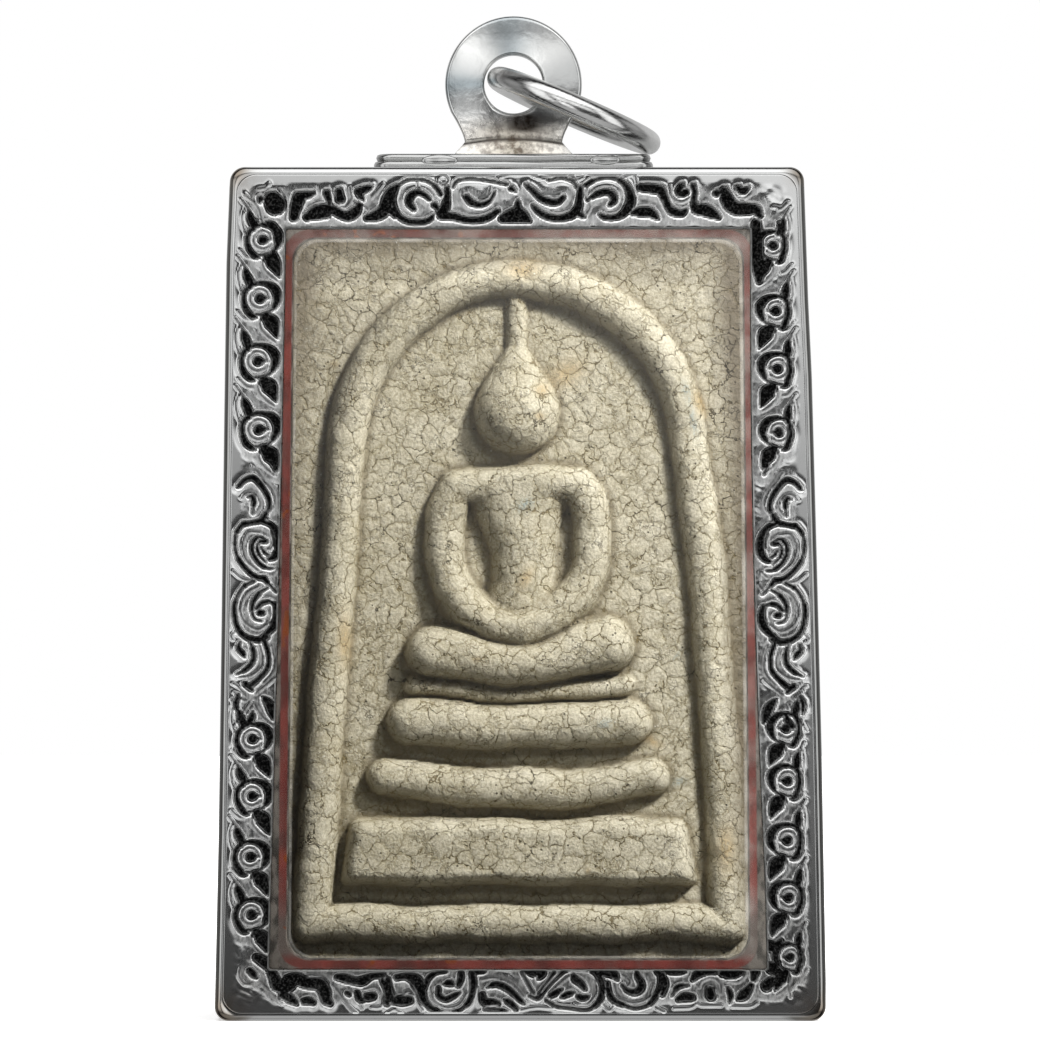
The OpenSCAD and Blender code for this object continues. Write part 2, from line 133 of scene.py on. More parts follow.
ROOM_LOW = 0.06                 # brightness of the room below the camera
ROOM_FRONT = 1.00               # of the room in front of the case, above the camera
ROOM_SIDE = 0.12                # of the room all round
ROOM_FLANK = 0.25               # added by pale walls to the left and right of the case
ROOM_BACK = 0.50                # and by the pale background behind it
PANEL = 0.42                    # by the soft light left of the camera
HIGH_PANEL = 1.35               # by the light over the camera
LOW_PANEL = 0.42                # by the pale table in front
SIDE_PANEL = 1.10               # by the white walls left and right
LOW_LEFT = 1.30                 # by the card that lies low on the left
DOME = 0.045                    # even light on matt surfaces from the front
DOME_BACK = 0.8                 # and from behind the case, which no lamp reaches
PAPER = 1.0                     # the white that the camera sees behind the table

room = bpy.data.worlds.new("studio")
room.use_nodes = True
bpy.context.scene.world = room
tree = room.node_tree
tree.nodes.clear()
direction = add_node(tree, "SeparateXYZ", {0: add_node(tree, "TexCoord").outputs["Generated"]})
east, north, up = direction.outputs
DEGREES = 180 / math.pi
height = times(tree, maths(tree, "ARCSINE", up), DEGREES)
turn = times(tree, maths(tree, "ARCTAN2", east, times(tree, north, -1.0)), DEGREES)
aside = maths(tree, "ABSOLUTE", turn)


def window(tree, value, low, high):
    """1 between two values and 0 outside them, each given as the two ends of its soft edge."""
    return times(tree, between(tree, value, *low), between(tree, value, *high, (1.0, 0.0)))


SIDE_SHARE = ROOM_SIDE / ROOM_FRONT
room_level = times(tree, between(tree, height, -2.5, 4.5, (ROOM_LOW, ROOM_FRONT)),
                   between(tree, height, 20.0, 28.0, (1.0, SIDE_SHARE)),
                   between(tree, aside, 26.0, 36.0, (1.0, SIDE_SHARE)),
                   between(tree, turn, -4.0, 4.0, (0.82, 1.28)),
                   between(tree, turn, 6.0, 12.0, (1.0, 0.68)))
# patches of light: soft edges to the left and right, then below and above, in degrees
LIGHTS = [(turn, (-32.0, -24.0), (-18.0, -8.0), (-12.0, 0.0), (18.0, 28.0), PANEL),
          (aside, (-2.0, -1.0), (55.0, 80.0), (26.0, 36.0), (82.0, 89.0), HIGH_PANEL),
          (aside, (-2.0, -1.0), (50.0, 75.0), (-89.0, -80.0), (-38.0, -30.0), LOW_PANEL),
          (aside, (33.0, 42.0), (58.0, 72.0), (-35.0, -20.0), (20.0, 35.0), SIDE_PANEL),
          (aside, (72.0, 86.0), (100.0, 112.0), (-40.0, -20.0), (20.0, 40.0), ROOM_FLANK),
          (aside, (100.0, 128.0), (200.0, 210.0), (-94.0, -92.0), (50.0, 75.0), ROOM_BACK),
          (turn, (-34.0, -26.0), (-14.0, -7.0), (-34.0, -24.0), (-12.0, -5.0), LOW_LEFT)]
for sideways, left, right, bottom, top, level in LIGHTS:
    light = times(tree, window(tree, sideways, left, right), window(tree, height, bottom, top), level)
    room_level = maths(tree, "ADD", room_level, light)
dome_level = between(tree, north, 0.0, 0.4, (DOME, DOME_BACK))
path = add_node(tree, "LightPath")
mirror_room, soft_room, paper = (
    add_node(tree, "Background", {"Color": grey(1.0), "Strength": level}).outputs[0]
    for level in (room_level, dome_level, PAPER))
unseen = add_node(tree, "MixShader", {0: path.outputs["Is Diffuse Ray"], 1: mirror_room,
                                      2: soft_room}).outputs[0]
whole = add_node(tree, "MixShader", {0: path.outputs["Is Camera Ray"], 1: unseen, 2: paper}).outputs[0]
add_node(tree, "OutputWorld", {"Surface": whole})
room.cycles.sampling_method = "NONE"     # the room is smooth, so surfaces find it by themselves


def lamp(name, place, size, power, colour=(1.0, 1.0, 1.0)):
    """Square area light at a place in mm, turned towards the middle of the case, not mirrored in it."""
    light = bpy.data.lights.new(name, "AREA")
    light.size = size * MM
    light.energy = power
    light.color = colour
    made = bpy.data.objects.new(name, light)
    made.location = [v * MM for v in place]
    aim = np.array([0.0, 0.0, 24.0]) * MM - np.array(made.location)
    across = math.atan2(aim[0], aim[1])
    made.rotation_euler = (math.pi / 2 + math.atan2(aim[2], math.hypot(aim[0], aim[1])), 0, -across)
    made.visible_glossy = False
    bpy.context.scene.collection.objects.link(made)
    return made


WARM = (1.0, 0.975, 0.93)
lamp("key", (190.0, -260.0, 270.0), 90.0, 2.4, WARM)
raking = lamp("raking", (109.0, -109.0, 152.0), 28.0, 0.62, WARM)
lamp("overhead", (0.0, 60.0, 420.0), 300.0, 1.2)


# Steel case: body.
# A strip of polished stainless steel bent round a trapezoid, with its front edge rolled into a
# bright rounded rim and a plain lip turned in round the back. The corners are rounded by hand
# and the rim carries fine polishing scratches.

CASE_BOTTOM_W, CASE_TOP_W = 32.0, 30.0
CASE_H, CASE_DEPTH = 45.0, 9.0
CASE_WALL, CORNER_R = 0.6, 0.75
LIP_T = 0.95                    # of the front lip
BACK_LIP, BACK_LIP_T = 2.4, 0.8  # how far the back lip reaches in, and its thickness
ROLL = 0.42                     # radius of the rim's rolled edge
STEEL = (0.72, 0.725, 0.72)
STEEL_LOW = (0.6768, 0.6815, 0.6768)    # where it is clouded


def frame_line(bottom_w, top_w, bottom, top, inset, r, side_n=120, end_n=90, corner_n=14):
    """Closed rounded trapezoid as an array of x and z, counterclockwise from the lower right corner.

    It is bottom_w wide at height bottom and top_w wide at height top, drawn in by inset all round.
    Each corner is an arc of radius r, and each straight run is shared out evenly, so that lines
    with other insets have their points side by side.
    """
    lean = math.atan2((bottom_w - top_w) / 2, top - bottom)
    zb, zt = bottom + inset + r, top - inset - r
    slant = (inset + r) / math.cos(lean)
    xb = bottom_w / 2 - (zb - bottom) * math.tan(lean) - slant
    xt = bottom_w / 2 - (zt - bottom) * math.tan(lean) - slant
    runs = []
    for cx, cz, a0, a1 in ((xb, zb, -math.pi / 2, lean), (xt, zt, lean, math.pi / 2),
                           (-xt, zt, math.pi / 2, math.pi - lean),
                           (-xb, zb, math.pi - lean, 1.5 * math.pi)):
        a = np.linspace(a0, a1, corner_n + 1)
        runs.append(np.stack([cx + r * np.cos(a), cz + r * np.sin(a)], 1))
    whole = []
    for k, count in enumerate((side_n, end_n, side_n, end_n)):
        here, there = runs[k][-1], runs[(k + 1) % 4][0]
        t = np.linspace(0, 1, count + 2)[1:-1, None]
        whole += [runs[k], here + (there - here) * t]
    return np.concatenate(whole)


def case_line(inset, r, **counts):
    return frame_line(CASE_BOTTOM_W, CASE_TOP_W, 0.0, CASE_H, inset, r, **counts)


def at_depth(line, depth):
    return np.column_stack([line[:, 0], np.full(len(line), depth), line[:, 1]])


def mesh_object(name, points, quads, caps=()):
    """Object from points in mm, an array of four corners a face, and flat faces with many corners."""
    mesh = bpy.data.meshes.new(name)
    mesh.vertices.add(len(points))
    mesh.vertices.foreach_set("co", (points * MM).astype(np.float32).ravel())
    loops = np.concatenate([quads.ravel(), *caps]).astype(np.int32)
    sizes = np.array([4] * len(quads) + [len(c) for c in caps])
    mesh.loops.add(len(loops))
    mesh.loops.foreach_set("vertex_index", loops)
    mesh.polygons.add(len(sizes))
    mesh.polygons.foreach_set("loop_start", (np.cumsum(sizes) - sizes).astype(np.int32))
    mesh.polygons.foreach_set("use_smooth", np.arange(len(sizes)) < len(quads))
    mesh.update(calc_edges=True)
    made = bpy.data.objects.new(name, mesh)
    bpy.context.scene.collection.objects.link(made)
    return made


def surface(name, points, closed=True):
    """Mesh of a grid of points in mm, of shape (u, v, 3), as quads that face outwards.

    Grid point (u, v) is joined to (u + 1, v) and (u, v + 1). The grid goes round along u. Along v
    it goes round too where it is closed, and else it ends in a flat cap on each side.
    """
    nu, nv = points.shape[:2]
    i, j = np.arange(nu)[:, None], np.arange(nv if closed else nv - 1)[None, :]
    ni, nj = (i + 1) % nu, (j + 1) % nv
    quads = np.stack(np.broadcast_arrays(i * nv + j, ni * nv + j, ni * nv + nj, i * nv + nj), -1)
    caps = () if closed else (np.arange(nu)[::-1] * nv, np.arange(nu) * nv + nv - 1)
    return mesh_object(name, points.reshape(-1, 3), quads.reshape(-1, 4), caps)


def point_values(piece, name, values):
    """Stores one number for each point of a piece, for its material to read."""
    stored = piece.data.attributes.new(name, "FLOAT", "POINT")
    stored.data.foreach_set("value", np.asarray(values, np.float32).ravel())


def reading(tree, name):
    """The number that point_values stored under a name."""
    return add_node(tree, "Attribute", attribute_name=name).outputs["Fac"]


def new_material(name):
    """Material with its tree, its Principled shader and the place on the piece, in metres."""
    made = bpy.data.materials.new(name)
    made.use_nodes = True
    tree = made.node_tree
    return made, tree, tree.nodes["Principled BSDF"], add_node(tree, "TexCoord").outputs["Object"]


def paint(tree, shader, tone, rough, normal, metallic=0.0):
    """Gives the Principled shader a colour, a normal, and a roughness linked or as a number."""
    shader.inputs["Metallic"].default_value = metallic
    for socket, value in (("Base Color", tone), ("Roughness", rough), ("Normal", normal)):
        if isinstance(value, float):
            shader.inputs[socket].default_value = value
        else:
            tree.links.new(value, shader.inputs[socket])


def bump(tree, height, distance, under=None):
    """Bump from a height of 0 to 1 that stands for a distance in mm, on top of one under it."""
    inputs = {"Height": height, "Distance": distance * MM, "Strength": 1.0}
    if under is not None:
        inputs["Normal"] = under
    return add_node(tree, "Bump", inputs).outputs["Normal"]


def grain(tree, place, size, detail=3.0, stretch=(1, 1, 1), roughness=0.5):
    """Noise of 0 to 1 whose lumps are about size mm across, stretched along an axis where asked."""
    scaled = add_node(tree, "Mapping", {"Vector": place, "Scale": stretch}).outputs[0]
    return add_node(tree, "TexNoise", {"Vector": scaled, "Scale": 1.0 / (size * MM), "Detail": detail,
                                       "Roughness": roughness}).outputs["Fac"]


BOW_LEFT = [(0, 0.0), (10, 0.0), (20, 0.08), (32, 0.19), (40, 0.25), (44, 0.18), (45, 0.12)]    # z, outwards
BOW_RIGHT = [(0, 0.22), (2, 0.28), (14, 0.32), (24, 0.29), (34, 0.24), (38, 0.14), (42, 0.09), (45, 0.05)]
TARNISHED = [(-15.2, 44.7, 1.0, 0.9), (15.0, 44.7, 0.7, 0.6), (-15.7, 0.5, 1.3, 0.8), (15.9, 0.5, 1.2, 0.7)]


def hand_bent(line, share=1.0):
    """The outline pushed out by up to a third of a millimetre, as the real case's sides bow."""
    out_left, out_right = (np.interp(line[:, 1], *np.transpose(bow)) for bow in (BOW_LEFT, BOW_RIGHT))
    out = np.where(line[:, 0] < 0, -out_left, out_right) * np.clip((np.abs(line[:, 0]) - 10.0) / 4.5, 0, 1)
    return np.column_stack([line[:, 0] + out * share, line[:, 1]])


def tarnish(points):
    """Share of brown tarnish at points of x and z: most at the case's outer corners."""
    total = np.zeros(points.shape[:-1])
    for cx, cz, reach, much in TARNISHED:
        total += much * np.exp(-((points[..., 0] - cx) ** 2 + (points[..., 1] - cz) ** 2) / reach ** 2)
    return total


def polished_steel(name, rough=0.10, scratch=0.0012, wave_size=3.0):
    """Bright steel: slight waves from hand polishing, hair scratches and cloudy gloss."""
    made, tree, shader, place = new_material(name)
    wave = grain(tree, place, wave_size, 1.0, (1.0, 1.0, 3.0 / wave_size))
    hair = grain(tree, place, 0.12, 2.0, (1.0, 1.0, 0.06))
    cloud = grain(tree, place, 0.8, 4.0)
    tone = mix(tree, cloud, STEEL_LOW, STEEL)
    # painted shade on the case's left and right sides, and a duller, darker tone on the strap
    tone = mix(tree, times(tree, reading(tree, "dull_and_shade"), 0.9), tone, (0.22, 0.22, 0.21))
    brown = times(tree, reading(tree, "tarnish"), between(tree, cloud, 0.3, 0.6, (0.3, 0.9)))
    tone = mix(tree, brown, tone, (0.34, 0.27, 0.20))
    gloss = between(tree, cloud, 0.3, 0.7, (rough * 0.8, rough * 1.3))
    paint(tree, shader, tone, gloss, bump(tree, hair, scratch, bump(tree, wave, 0.02)), 1.0)
    return made


def rounded(start, end, n):
    """Quarter ellipse from one corner to the other, as n + 1 rows."""
    return [(start[0] + (end[0] - start[0]) * (1 - math.cos(t)),
             start[1] + (end[1] - start[1]) * math.sin(t)) for t in np.linspace(0, math.pi / 2, n + 1)]


front, back = FRONT_Y, FRONT_Y + CASE_DEPTH
LIP_SEAT = ROLL + 0.08          # where the rim meets the chased lip, which has a mesh of its own
EASE = 0.12                     # edge of the back lip
# inset and y round the strip's section, from its outer front edge in and back
profile = rounded((0.0, front + ROLL), (ROLL, front + 0.012), 12)
profile += [(ROLL + 0.06, front + 0.03), (LIP_SEAT, front + LIP_T * 0.5), (LIP_SEAT, front + LIP_T),
            (CASE_WALL, front + LIP_T), (CASE_WALL, back - BACK_LIP_T), (BACK_LIP - 0.1, back - BACK_LIP_T),
            (BACK_LIP, back - BACK_LIP_T + 0.1), (BACK_LIP, back - EASE), (BACK_LIP - EASE, back),
            (CASE_WALL, back), (0.28, back - 0.05), (0.08, back - 0.2), (0.0, back - 0.5)]
rows = []
for inset, depth in profile:
    line = case_line(inset, CORNER_R + 0.5 * min(inset, 1.2) if inset < 1.5 else 0.6)
    rows.append(at_depth(hand_bent(line, 1.0 if inset < 0.55 else 0.0), depth))
case_points = np.stack(rows, 1)
case_body = surface("case_body", case_points)
# painted shade: darker steel on the case's left and right sides, over their walls, back and outer rim
dull_and_shade = [max(0.0, min(1.0, (0.34 - inset) / 0.14)) if depth < 0 else 1.0 for inset, depth in profile]
at_side = np.clip((np.abs(rows[0][:, 0]) - 14.2) / 0.6, 0.0, 1.0)
point_values(case_body, "dull_and_shade", at_side[:, None] * np.array(dull_and_shade))
point_values(case_body, "tarnish", tarnish(case_points[..., ::2]))
case_body.data.materials.append(polished_steel("rim_steel"))
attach(case_body, "case")
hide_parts("steel_case")


# Clay amulet.
# A plaque of fired clay and lime pressed in a mould: a flat ground, an arched half-round ridge
# closed by a bar below, and a plain seated figure on three tiers. It lies loose in the back
# window, and with age it has dried into a net of fine olive cracks, pits and faint stains.

CLAY_INSET = 1.55               # from the case's outline
CLAY_FRONT, CLAY_BACK = -0.9, 2.7   # y of the flat ground and of the back
CLAY_CORNER_R = 0.9
CLAY_STEP = 0.113               # grid spacing of the relief
GROUND_SLOPE = 2.2              # at which forms are carried on below the ground
ARCH_R, ARCH_Z, LEG_LEAN = 9.1, 30.1, math.radians(4.3)
RIDGE_HALF, RIDGE_H, FOOT_Z = 1.05, 0.9, 4.95
LEG_OUT = 0.42                  # how far the ridge's right leg stands out of true
WOBBLE, WOBBLE_SIZE = 0.09, 7.0  # how far the moulded lines stray, and over what length


def curve(points, n=16):
    """Smooth line through given points: each span is a cubic whose slope at a point is
    half the step between its two neighbours. Rows may carry widths or heights after x and z."""
    p = np.array(points, float)
    p = np.concatenate([2 * p[:1] - p[1:2], p, 2 * p[-1:] - p[-2:-1]])
    t = np.linspace(0, 1, n, endpoint=False)[None, :, None]
    a, b, c, d = (p[k:len(p) - 3 + k, None, :] for k in range(4))
    spans = b + 0.5 * t * (c - a) + t * t * (a - 2.5 * b + 2 * c - 0.5 * d) \
        + t ** 3 * (1.5 * (b - c) + 0.5 * (d - a))
    return np.concatenate([spans.reshape(-1, p.shape[1]), p[-2:-1]])


def off_line(x, z, line):
    """Distance from each place to a line of x, z and width, and the width at the nearest point."""
    best = np.full(x.shape, 1e9)
    width = np.zeros(x.shape)
    for a, b in zip(line[:-1], line[1:]):
        step = b[:2] - a[:2]
        t = np.clip(((x - a[0]) * step[0] + (z - a[1]) * step[1]) / (step @ step + 1e-12), 0, 1)
        d = np.hypot(x - a[0] - t * step[0], z - a[1] - t * step[1])
        nearer = d < best
        best = np.where(nearer, d, best)
        width = np.where(nearer, a[2] + t * (b[2] - a[2]), width)
    return best, width


def dome(d, half, high, roundness=1.0):
    """Height of a moulded bar at distance d from its middle: a circle's arc half wide and high
    high, carried on below the ground with a steep slope so that neighbours blend."""
    r = (half ** 2 + high ** 2) / (2 * high)
    inside = np.clip(np.sqrt(np.clip(r * r - np.minimum(d, half) ** 2, 0, None)) - (r - high), 0, None)
    return inside ** roundness * high ** (1 - roundness) - GROUND_SLOPE * np.clip(d - half, 0, None)


def blend_up(a, b, soft):
    """The higher of two heights, with a fillet soft high where they meet."""
    return np.maximum(a, b) + soft / 4 * np.clip(1 - np.abs(a - b) / soft, 0, None) ** 2


def lumps(x, z, size, seed, octaves=3):
    """Soft random heights of -1 to 1: sums of sines in random directions, finer ones weaker."""
    chance = np.random.default_rng(seed)
    total = np.zeros(x.shape)
    for k in range(octaves):
        for _ in range(7):
            way, shift = chance.uniform(0, 2 * math.pi, 2)
            wave = 2 * math.pi * 2 ** k / size * chance.uniform(0.6, 1.3)
            total += np.sin(wave * (x * math.cos(way) + z * math.sin(way)) + shift) / 2 ** k / 4
    return total


lean = math.atan2((CASE_BOTTOM_W - CASE_TOP_W) / 2, CASE_H)
clay_z0, clay_z1 = CLAY_INSET, CASE_H - CLAY_INSET
zs = np.linspace(clay_z0, clay_z1, int((clay_z1 - clay_z0) / CLAY_STEP))
halves = CASE_BOTTOM_W / 2 - zs * math.tan(lean) - CLAY_INSET / math.cos(lean)
corner = np.clip(CLAY_CORNER_R - np.minimum(zs - clay_z0, clay_z1 - zs), 0, CLAY_CORNER_R)
halves -= CLAY_CORNER_R - np.sqrt(CLAY_CORNER_R ** 2 - corner ** 2)
across = np.linspace(-1, 1, int(2 * halves.max() / CLAY_STEP))
x = across[:, None] * halves[None, :]
z = np.broadcast_to(zs[None, :], x.shape)

# arched ridge: distance to an arc on two leaning legs and the bar across the bottom
spring = np.array([ARCH_R * math.cos(LEG_LEAN), ARCH_Z + ARCH_R * math.sin(LEG_LEAN)])
foot_x = spring[0] + (spring[1] - FOOT_Z) * math.tan(LEG_LEAN)
turn_at = np.linspace(LEG_LEAN, math.pi - LEG_LEAN, 60)
ridge_line = [(foot_x, FOOT_Z)] + [(ARCH_R * math.cos(a), ARCH_Z + ARCH_R * math.sin(a)) for a in turn_at]
ridge_line = np.array([(px, pz, 1.0) for px, pz in ridge_line + [(-foot_x, FOOT_Z), (foot_x, FOOT_Z)]])
wobble_x = x + WOBBLE * lumps(x, z, WOBBLE_SIZE, 3)
wobble_z = z + WOBBLE * lumps(x, z, WOBBLE_SIZE, 4)
right_leg = LEG_OUT * np.clip((31.0 - z) / 8.0, 0, 1) * np.clip(x / 4.0, 0, 1)
right_leg = right_leg * np.clip((z - 4.5) / 4.0, 0.4, 1)
ridge_d, _ = off_line(wobble_x - right_leg, wobble_z, ridge_line)
relief = blend_up(np.zeros(x.shape), dome(ridge_d, RIDGE_HALF, RIDGE_H, 0.85), 0.22)


def with_bar(relief, rows, high, plump, soft=0.1):
    """The relief with a moulded bar blended in, along a line of x, z and half width."""
    d, half = off_line(wobble_x, wobble_z, curve(rows))
    return blend_up(relief, dome(d, half, high, plump), soft)


# base: each row gives x, z and half width along a bar, left to right
LEGS = [(-4.55, 19.45, 1.42), (-3.2, 19.2, 1.38), (-1.6, 18.95, 1.1), (0.0, 18.85, 1.0),
        (1.8, 19.0, 1.15), (3.4, 19.5, 1.4), (4.75, 19.85, 1.45)]
CUSHION = [(-5.5, 17.62, 0.44), (-3.0, 17.36, 0.42), (0.0, 17.22, 0.42), (3.0, 17.32, 0.44), (5.6, 17.62, 0.55)]
UPPER = [(-5.75, 15.72, 1.28), (-3.0, 15.5, 1.24), (0.0, 15.42, 1.2), (3.0, 15.48, 1.22), (5.85, 15.68, 1.28)]
MIDDLE = [(-7.1, 12.75, 1.0), (-3.5, 12.3, 1.05), (0.0, 12.15, 1.05), (4.0, 12.2, 1.05), (7.2, 12.75, 0.98)]
for rows, high, plump in ((CUSHION, 0.62, 0.8), (LEGS, 1.5, 0.8), (UPPER, 1.2, 0.75), (MIDDLE, 1.02, 0.8)):
    relief = with_bar(relief, rows, high, plump)

# lower tier: a flat block with rounded edges, a little wider below
LOWER_TOP, LOWER_BOTTOM = 10.62, 6.95
LOWER_HALF, LOWER_FLARE, LOWER_H = 9.0, 0.16, 1.22
LOWER_CORNER, LOWER_SIDE, LOWER_END = 0.7, 0.85, 0.8
side_d = (np.abs(wobble_x) - LOWER_HALF - LOWER_FLARE * (LOWER_TOP - wobble_z)) / math.hypot(1, LOWER_FLARE)
end_d = np.maximum(wobble_z - LOWER_TOP, LOWER_BOTTOM - wobble_z)
corner_d = np.hypot(np.clip(side_d + LOWER_CORNER, 0, None), np.clip(end_d + LOWER_CORNER, 0, None))
side_in, end_in = np.clip(-side_d / LOWER_SIDE, 0, 1), np.clip(-end_d / LOWER_END, 0, 1)
block = LOWER_H * ((1 - (1 - side_in) ** 2.2) * (1 - (1 - end_in) ** 2.2)) ** 0.55
block -= GROUND_SLOPE * np.clip(corner_d - LOWER_CORNER, 0, None)
block -= 0.14 * np.clip((wobble_z - 9.6) / 1.0, 0, 1) ** 2
relief = blend_up(relief, block, 0.1)

# figure: head with its spike, trunk, and the two arms folded into a bow
HEAD_R, HEAD_Z, CHIN_DROP, CROWN_RISE = 2.3, 32.15, 2.3, 3.5
SPIKE_R, HEAD_X, HEAD_FLAT = 0.56, -0.06, 0.72
below = np.clip((HEAD_Z - z) / CHIN_DROP, 0, 1)
above = np.clip((z - HEAD_Z) / CROWN_RISE, 0, 1)
head_half = np.where(z < HEAD_Z, HEAD_R * np.sqrt(1 - below ** 2.1),
                     SPIKE_R + (HEAD_R - SPIKE_R) * np.cos(math.pi / 2 * above ** 0.94) ** 1.15)
head_half = np.where((z > ARCH_Z + ARCH_R) | (z < HEAD_Z - CHIN_DROP), 0.0, head_half)
head_x = np.abs(x - HEAD_X)
egg = np.where(head_x < head_half, np.sqrt(np.clip(head_half ** 2 - head_x ** 2, 0, None)) * HEAD_FLAT,
               -GROUND_SLOPE * (head_x - head_half))
egg -= np.clip(0.5 - np.clip((z - HEAD_Z + CHIN_DROP) / 0.9, 0, 1), 0, None) * 0.3

TRUNK = [(0.2, 21.8, 2.1), (0.3, 23.2, 1.75), (0.3, 24.6, 1.8), (0.1, 26.0, 2.15), (0.0, 27.0, 2.6),
         (0.0, 27.7, 3.2), (0.0, 28.4, 4.0)]
trunk_x, trunk_z, trunk_half = np.transpose(TRUNK)
chest_x, chest_half = np.interp(z, trunk_z, trunk_x), np.interp(z, trunk_z, trunk_half)
trunk = dome(np.abs(x - chest_x), chest_half, 1.12, 0.9) - 3.0 * np.clip(z - 28.85, 0, None) ** 1.3
trunk -= 3.0 * np.clip(21.2 - z, 0, None)
LEFT_ARM = [(-2.6, 28.35, 0.85), (-3.35, 27.9, 0.98), (-3.8, 26.6, 1.06), (-3.92, 25.0, 1.08),
            (-3.7, 23.5, 1.05), (-2.85, 22.1, 0.98), (-1.5, 21.05, 0.95), (0.1, 20.7, 0.98)]
RIGHT_ARM = [(2.6, 28.4, 0.85), (3.4, 28.0, 0.98), (3.85, 26.8, 1.02), (3.92, 25.2, 1.04),
             (3.78, 23.7, 1.06), (2.95, 22.3, 1.05), (1.6, 21.25, 1.0), (0.1, 20.7, 0.98)]
SHOULDERS = [(-3.2, 28.2, 0.95), (-1.5, 28.3, 0.9), (1.5, 28.35, 0.9), (3.2, 28.3, 0.95)]
figure = with_bar(trunk, SHOULDERS, 1.02, 0.9, 0.3)
arm_high = 1.0 + 0.45 * np.clip((23.5 - z) / 2.5, 0, 1)     # highest at the hands
for arm in (LEFT_ARM, RIGHT_ARM):
    figure = with_bar(figure, arm, arm_high, 0.85, 0.12)
relief = blend_up(blend_up(relief, figure, 0.1), egg, 0.12)
relief += 0.035 * lumps(x, z, 4.0, 11) * np.clip(relief + 0.4, 0, 1) + 0.012 * lumps(x, z, 0.9, 12)

edge_room = np.minimum(np.minimum(zs - clay_z0, clay_z1 - zs)[None, :], halves[None, :] - np.abs(x))
RELIEF_SHARE, RELIEF_MOST = 1.2, 1.93
relief = np.where(relief > 0, np.minimum(relief * RELIEF_SHARE, RELIEF_MOST), relief)
relief = np.where(edge_room < 0.4, relief - 0.3 * (1 - edge_room / 0.4) ** 2, relief)


def spread(values, reach):
    """Mean over a square of reach grid points each way, by running sums along both directions."""
    for axis in (0, 1):
        padded = np.concatenate([np.repeat(values.take([0], axis), reach + 1, axis), values,
                                 np.repeat(values.take([-1], axis), reach, axis)], axis)
        sums = np.cumsum(padded, axis)
        n = values.shape[axis]
        values = (sums.take(range(2 * reach + 1, 2 * reach + 1 + n), axis)
                  - sums.take(range(n), axis)) / (2 * reach + 1)
    return values


# painted shade: darkest in the hollows, and on the undersides, where the relief rises towards the upper right
hollow_shade = np.clip((spread(relief, 4) - relief) / 0.26, 0, 1)
uphill = np.roll(spread(relief, 1), (-3, -5), (0, 1)) - spread(relief, 1)
hollow_shade = np.clip(hollow_shade + 0.7 * np.clip((uphill - 0.16) / 0.5, 0, 1), 0, 1)
hollow_shade = hollow_shade * np.clip((z - 3.4) / 1.4, 0.3, 1)
# painted highlight: paler on the crests of the relief
crest_highlight = np.clip((relief - spread(relief, 7)) / 0.3, 0, 1)

# stains as x, z, half length, half width and slant in degrees
BLUE_STAINS = [(8.95, 33.2, 0.55, 0.22, -70), (9.3, 31.6, 0.9, 0.16, -80), (4.6, 15.6, 0.42, 0.22, 10),
               (8.45, 19.2, 0.35, 0.07, 50), (0.4, 27.2, 0.5, 0.35, 30), (8.6, 12.5, 0.4, 0.2, 0)]
OCHRE_STAINS = [(-2.2, 19.05, 0.22, 0.12, 0), (-9.75, 34.7, 0.22, 0.12, -20), (0.3, 39.7, 0.9, 0.5, 0),
                (2.6, 34.2, 0.9, 0.6, 30), (1.25, 33.3, 0.35, 0.3, 0), (1.15, 31.9, 0.25, 0.2, 0),
                (3.7, 7.8, 0.12, 0.16, 0), (7.2, 14.6, 0.5, 0.25, -30), (9.6, 32.6, 0.3, 0.7, 20),
                (-9.2, 20.0, 0.35, 1.3, 0), (11.0, 9.0, 0.5, 1.2, 0), (0.4, 23.3, 0.3, 0.6, -30)]


def stained(marks):
    total = np.zeros(x.shape)
    for mx, mz, long, wide, slant in marks:
        c, s = math.cos(math.radians(slant)), math.sin(math.radians(slant))
        a, b = (x - mx) * c + (z - mz) * s, (z - mz) * c - (x - mx) * s
        total += np.exp(-(a / long) ** 2 - (b / wide) ** 2)
    return np.clip(total, 0, 1)


# painted shadow of the case's lip: darker near the plaque's edges, most on the right and towards the top
LIP_SHADE_FROM = 2.0                # from the plaque's edge, all of it behind the lip up to there
lip_shade = np.clip(1 - (edge_room - LIP_SHADE_FROM) / 1.6, 0, 1) ** 1.5 * np.where(x > 0, 1.0, 0.5 + 0.4 * (z > 38))
shaded_top = 0.4 * np.clip(1 - (edge_room - LIP_SHADE_FROM) / 5.0, 0, 1) * np.clip((z - 31.0) / 6.0, 0, 1)
lip_shade = lip_shade * np.clip((z - 5.0) / 4.0, 0.35, 1)
lip_shade = np.clip(lip_shade + shaded_top * np.clip(np.abs(x) / 7.0, 0.3, 1), 0, 1)
front_points = np.stack([x, CLAY_FRONT - relief, z], -1)
nu, nv = x.shape
index = np.arange(nu * nv).reshape(nu, nv)
border = np.concatenate([index[:-1, 0], index[-1, :-1], index[:0:-1, -1], index[0, :0:-1]])
behind = front_points.reshape(-1, 3)[border].copy()
behind[:, 1] = CLAY_BACK
clay_quads = np.stack([index[:-1, :-1], index[1:, :-1], index[1:, 1:], index[:-1, 1:]], -1).reshape(-1, 4)
back_index = nu * nv + np.arange(len(border))
skirt = np.stack([border, back_index, np.roll(back_index, -1), np.roll(border, -1)], -1)
clay = mesh_object("clay_relief", np.concatenate([front_points.reshape(-1, 3), behind]),
                   np.concatenate([clay_quads, skirt]), caps=[back_index[::-1]])
behind_zero = np.zeros(len(border))
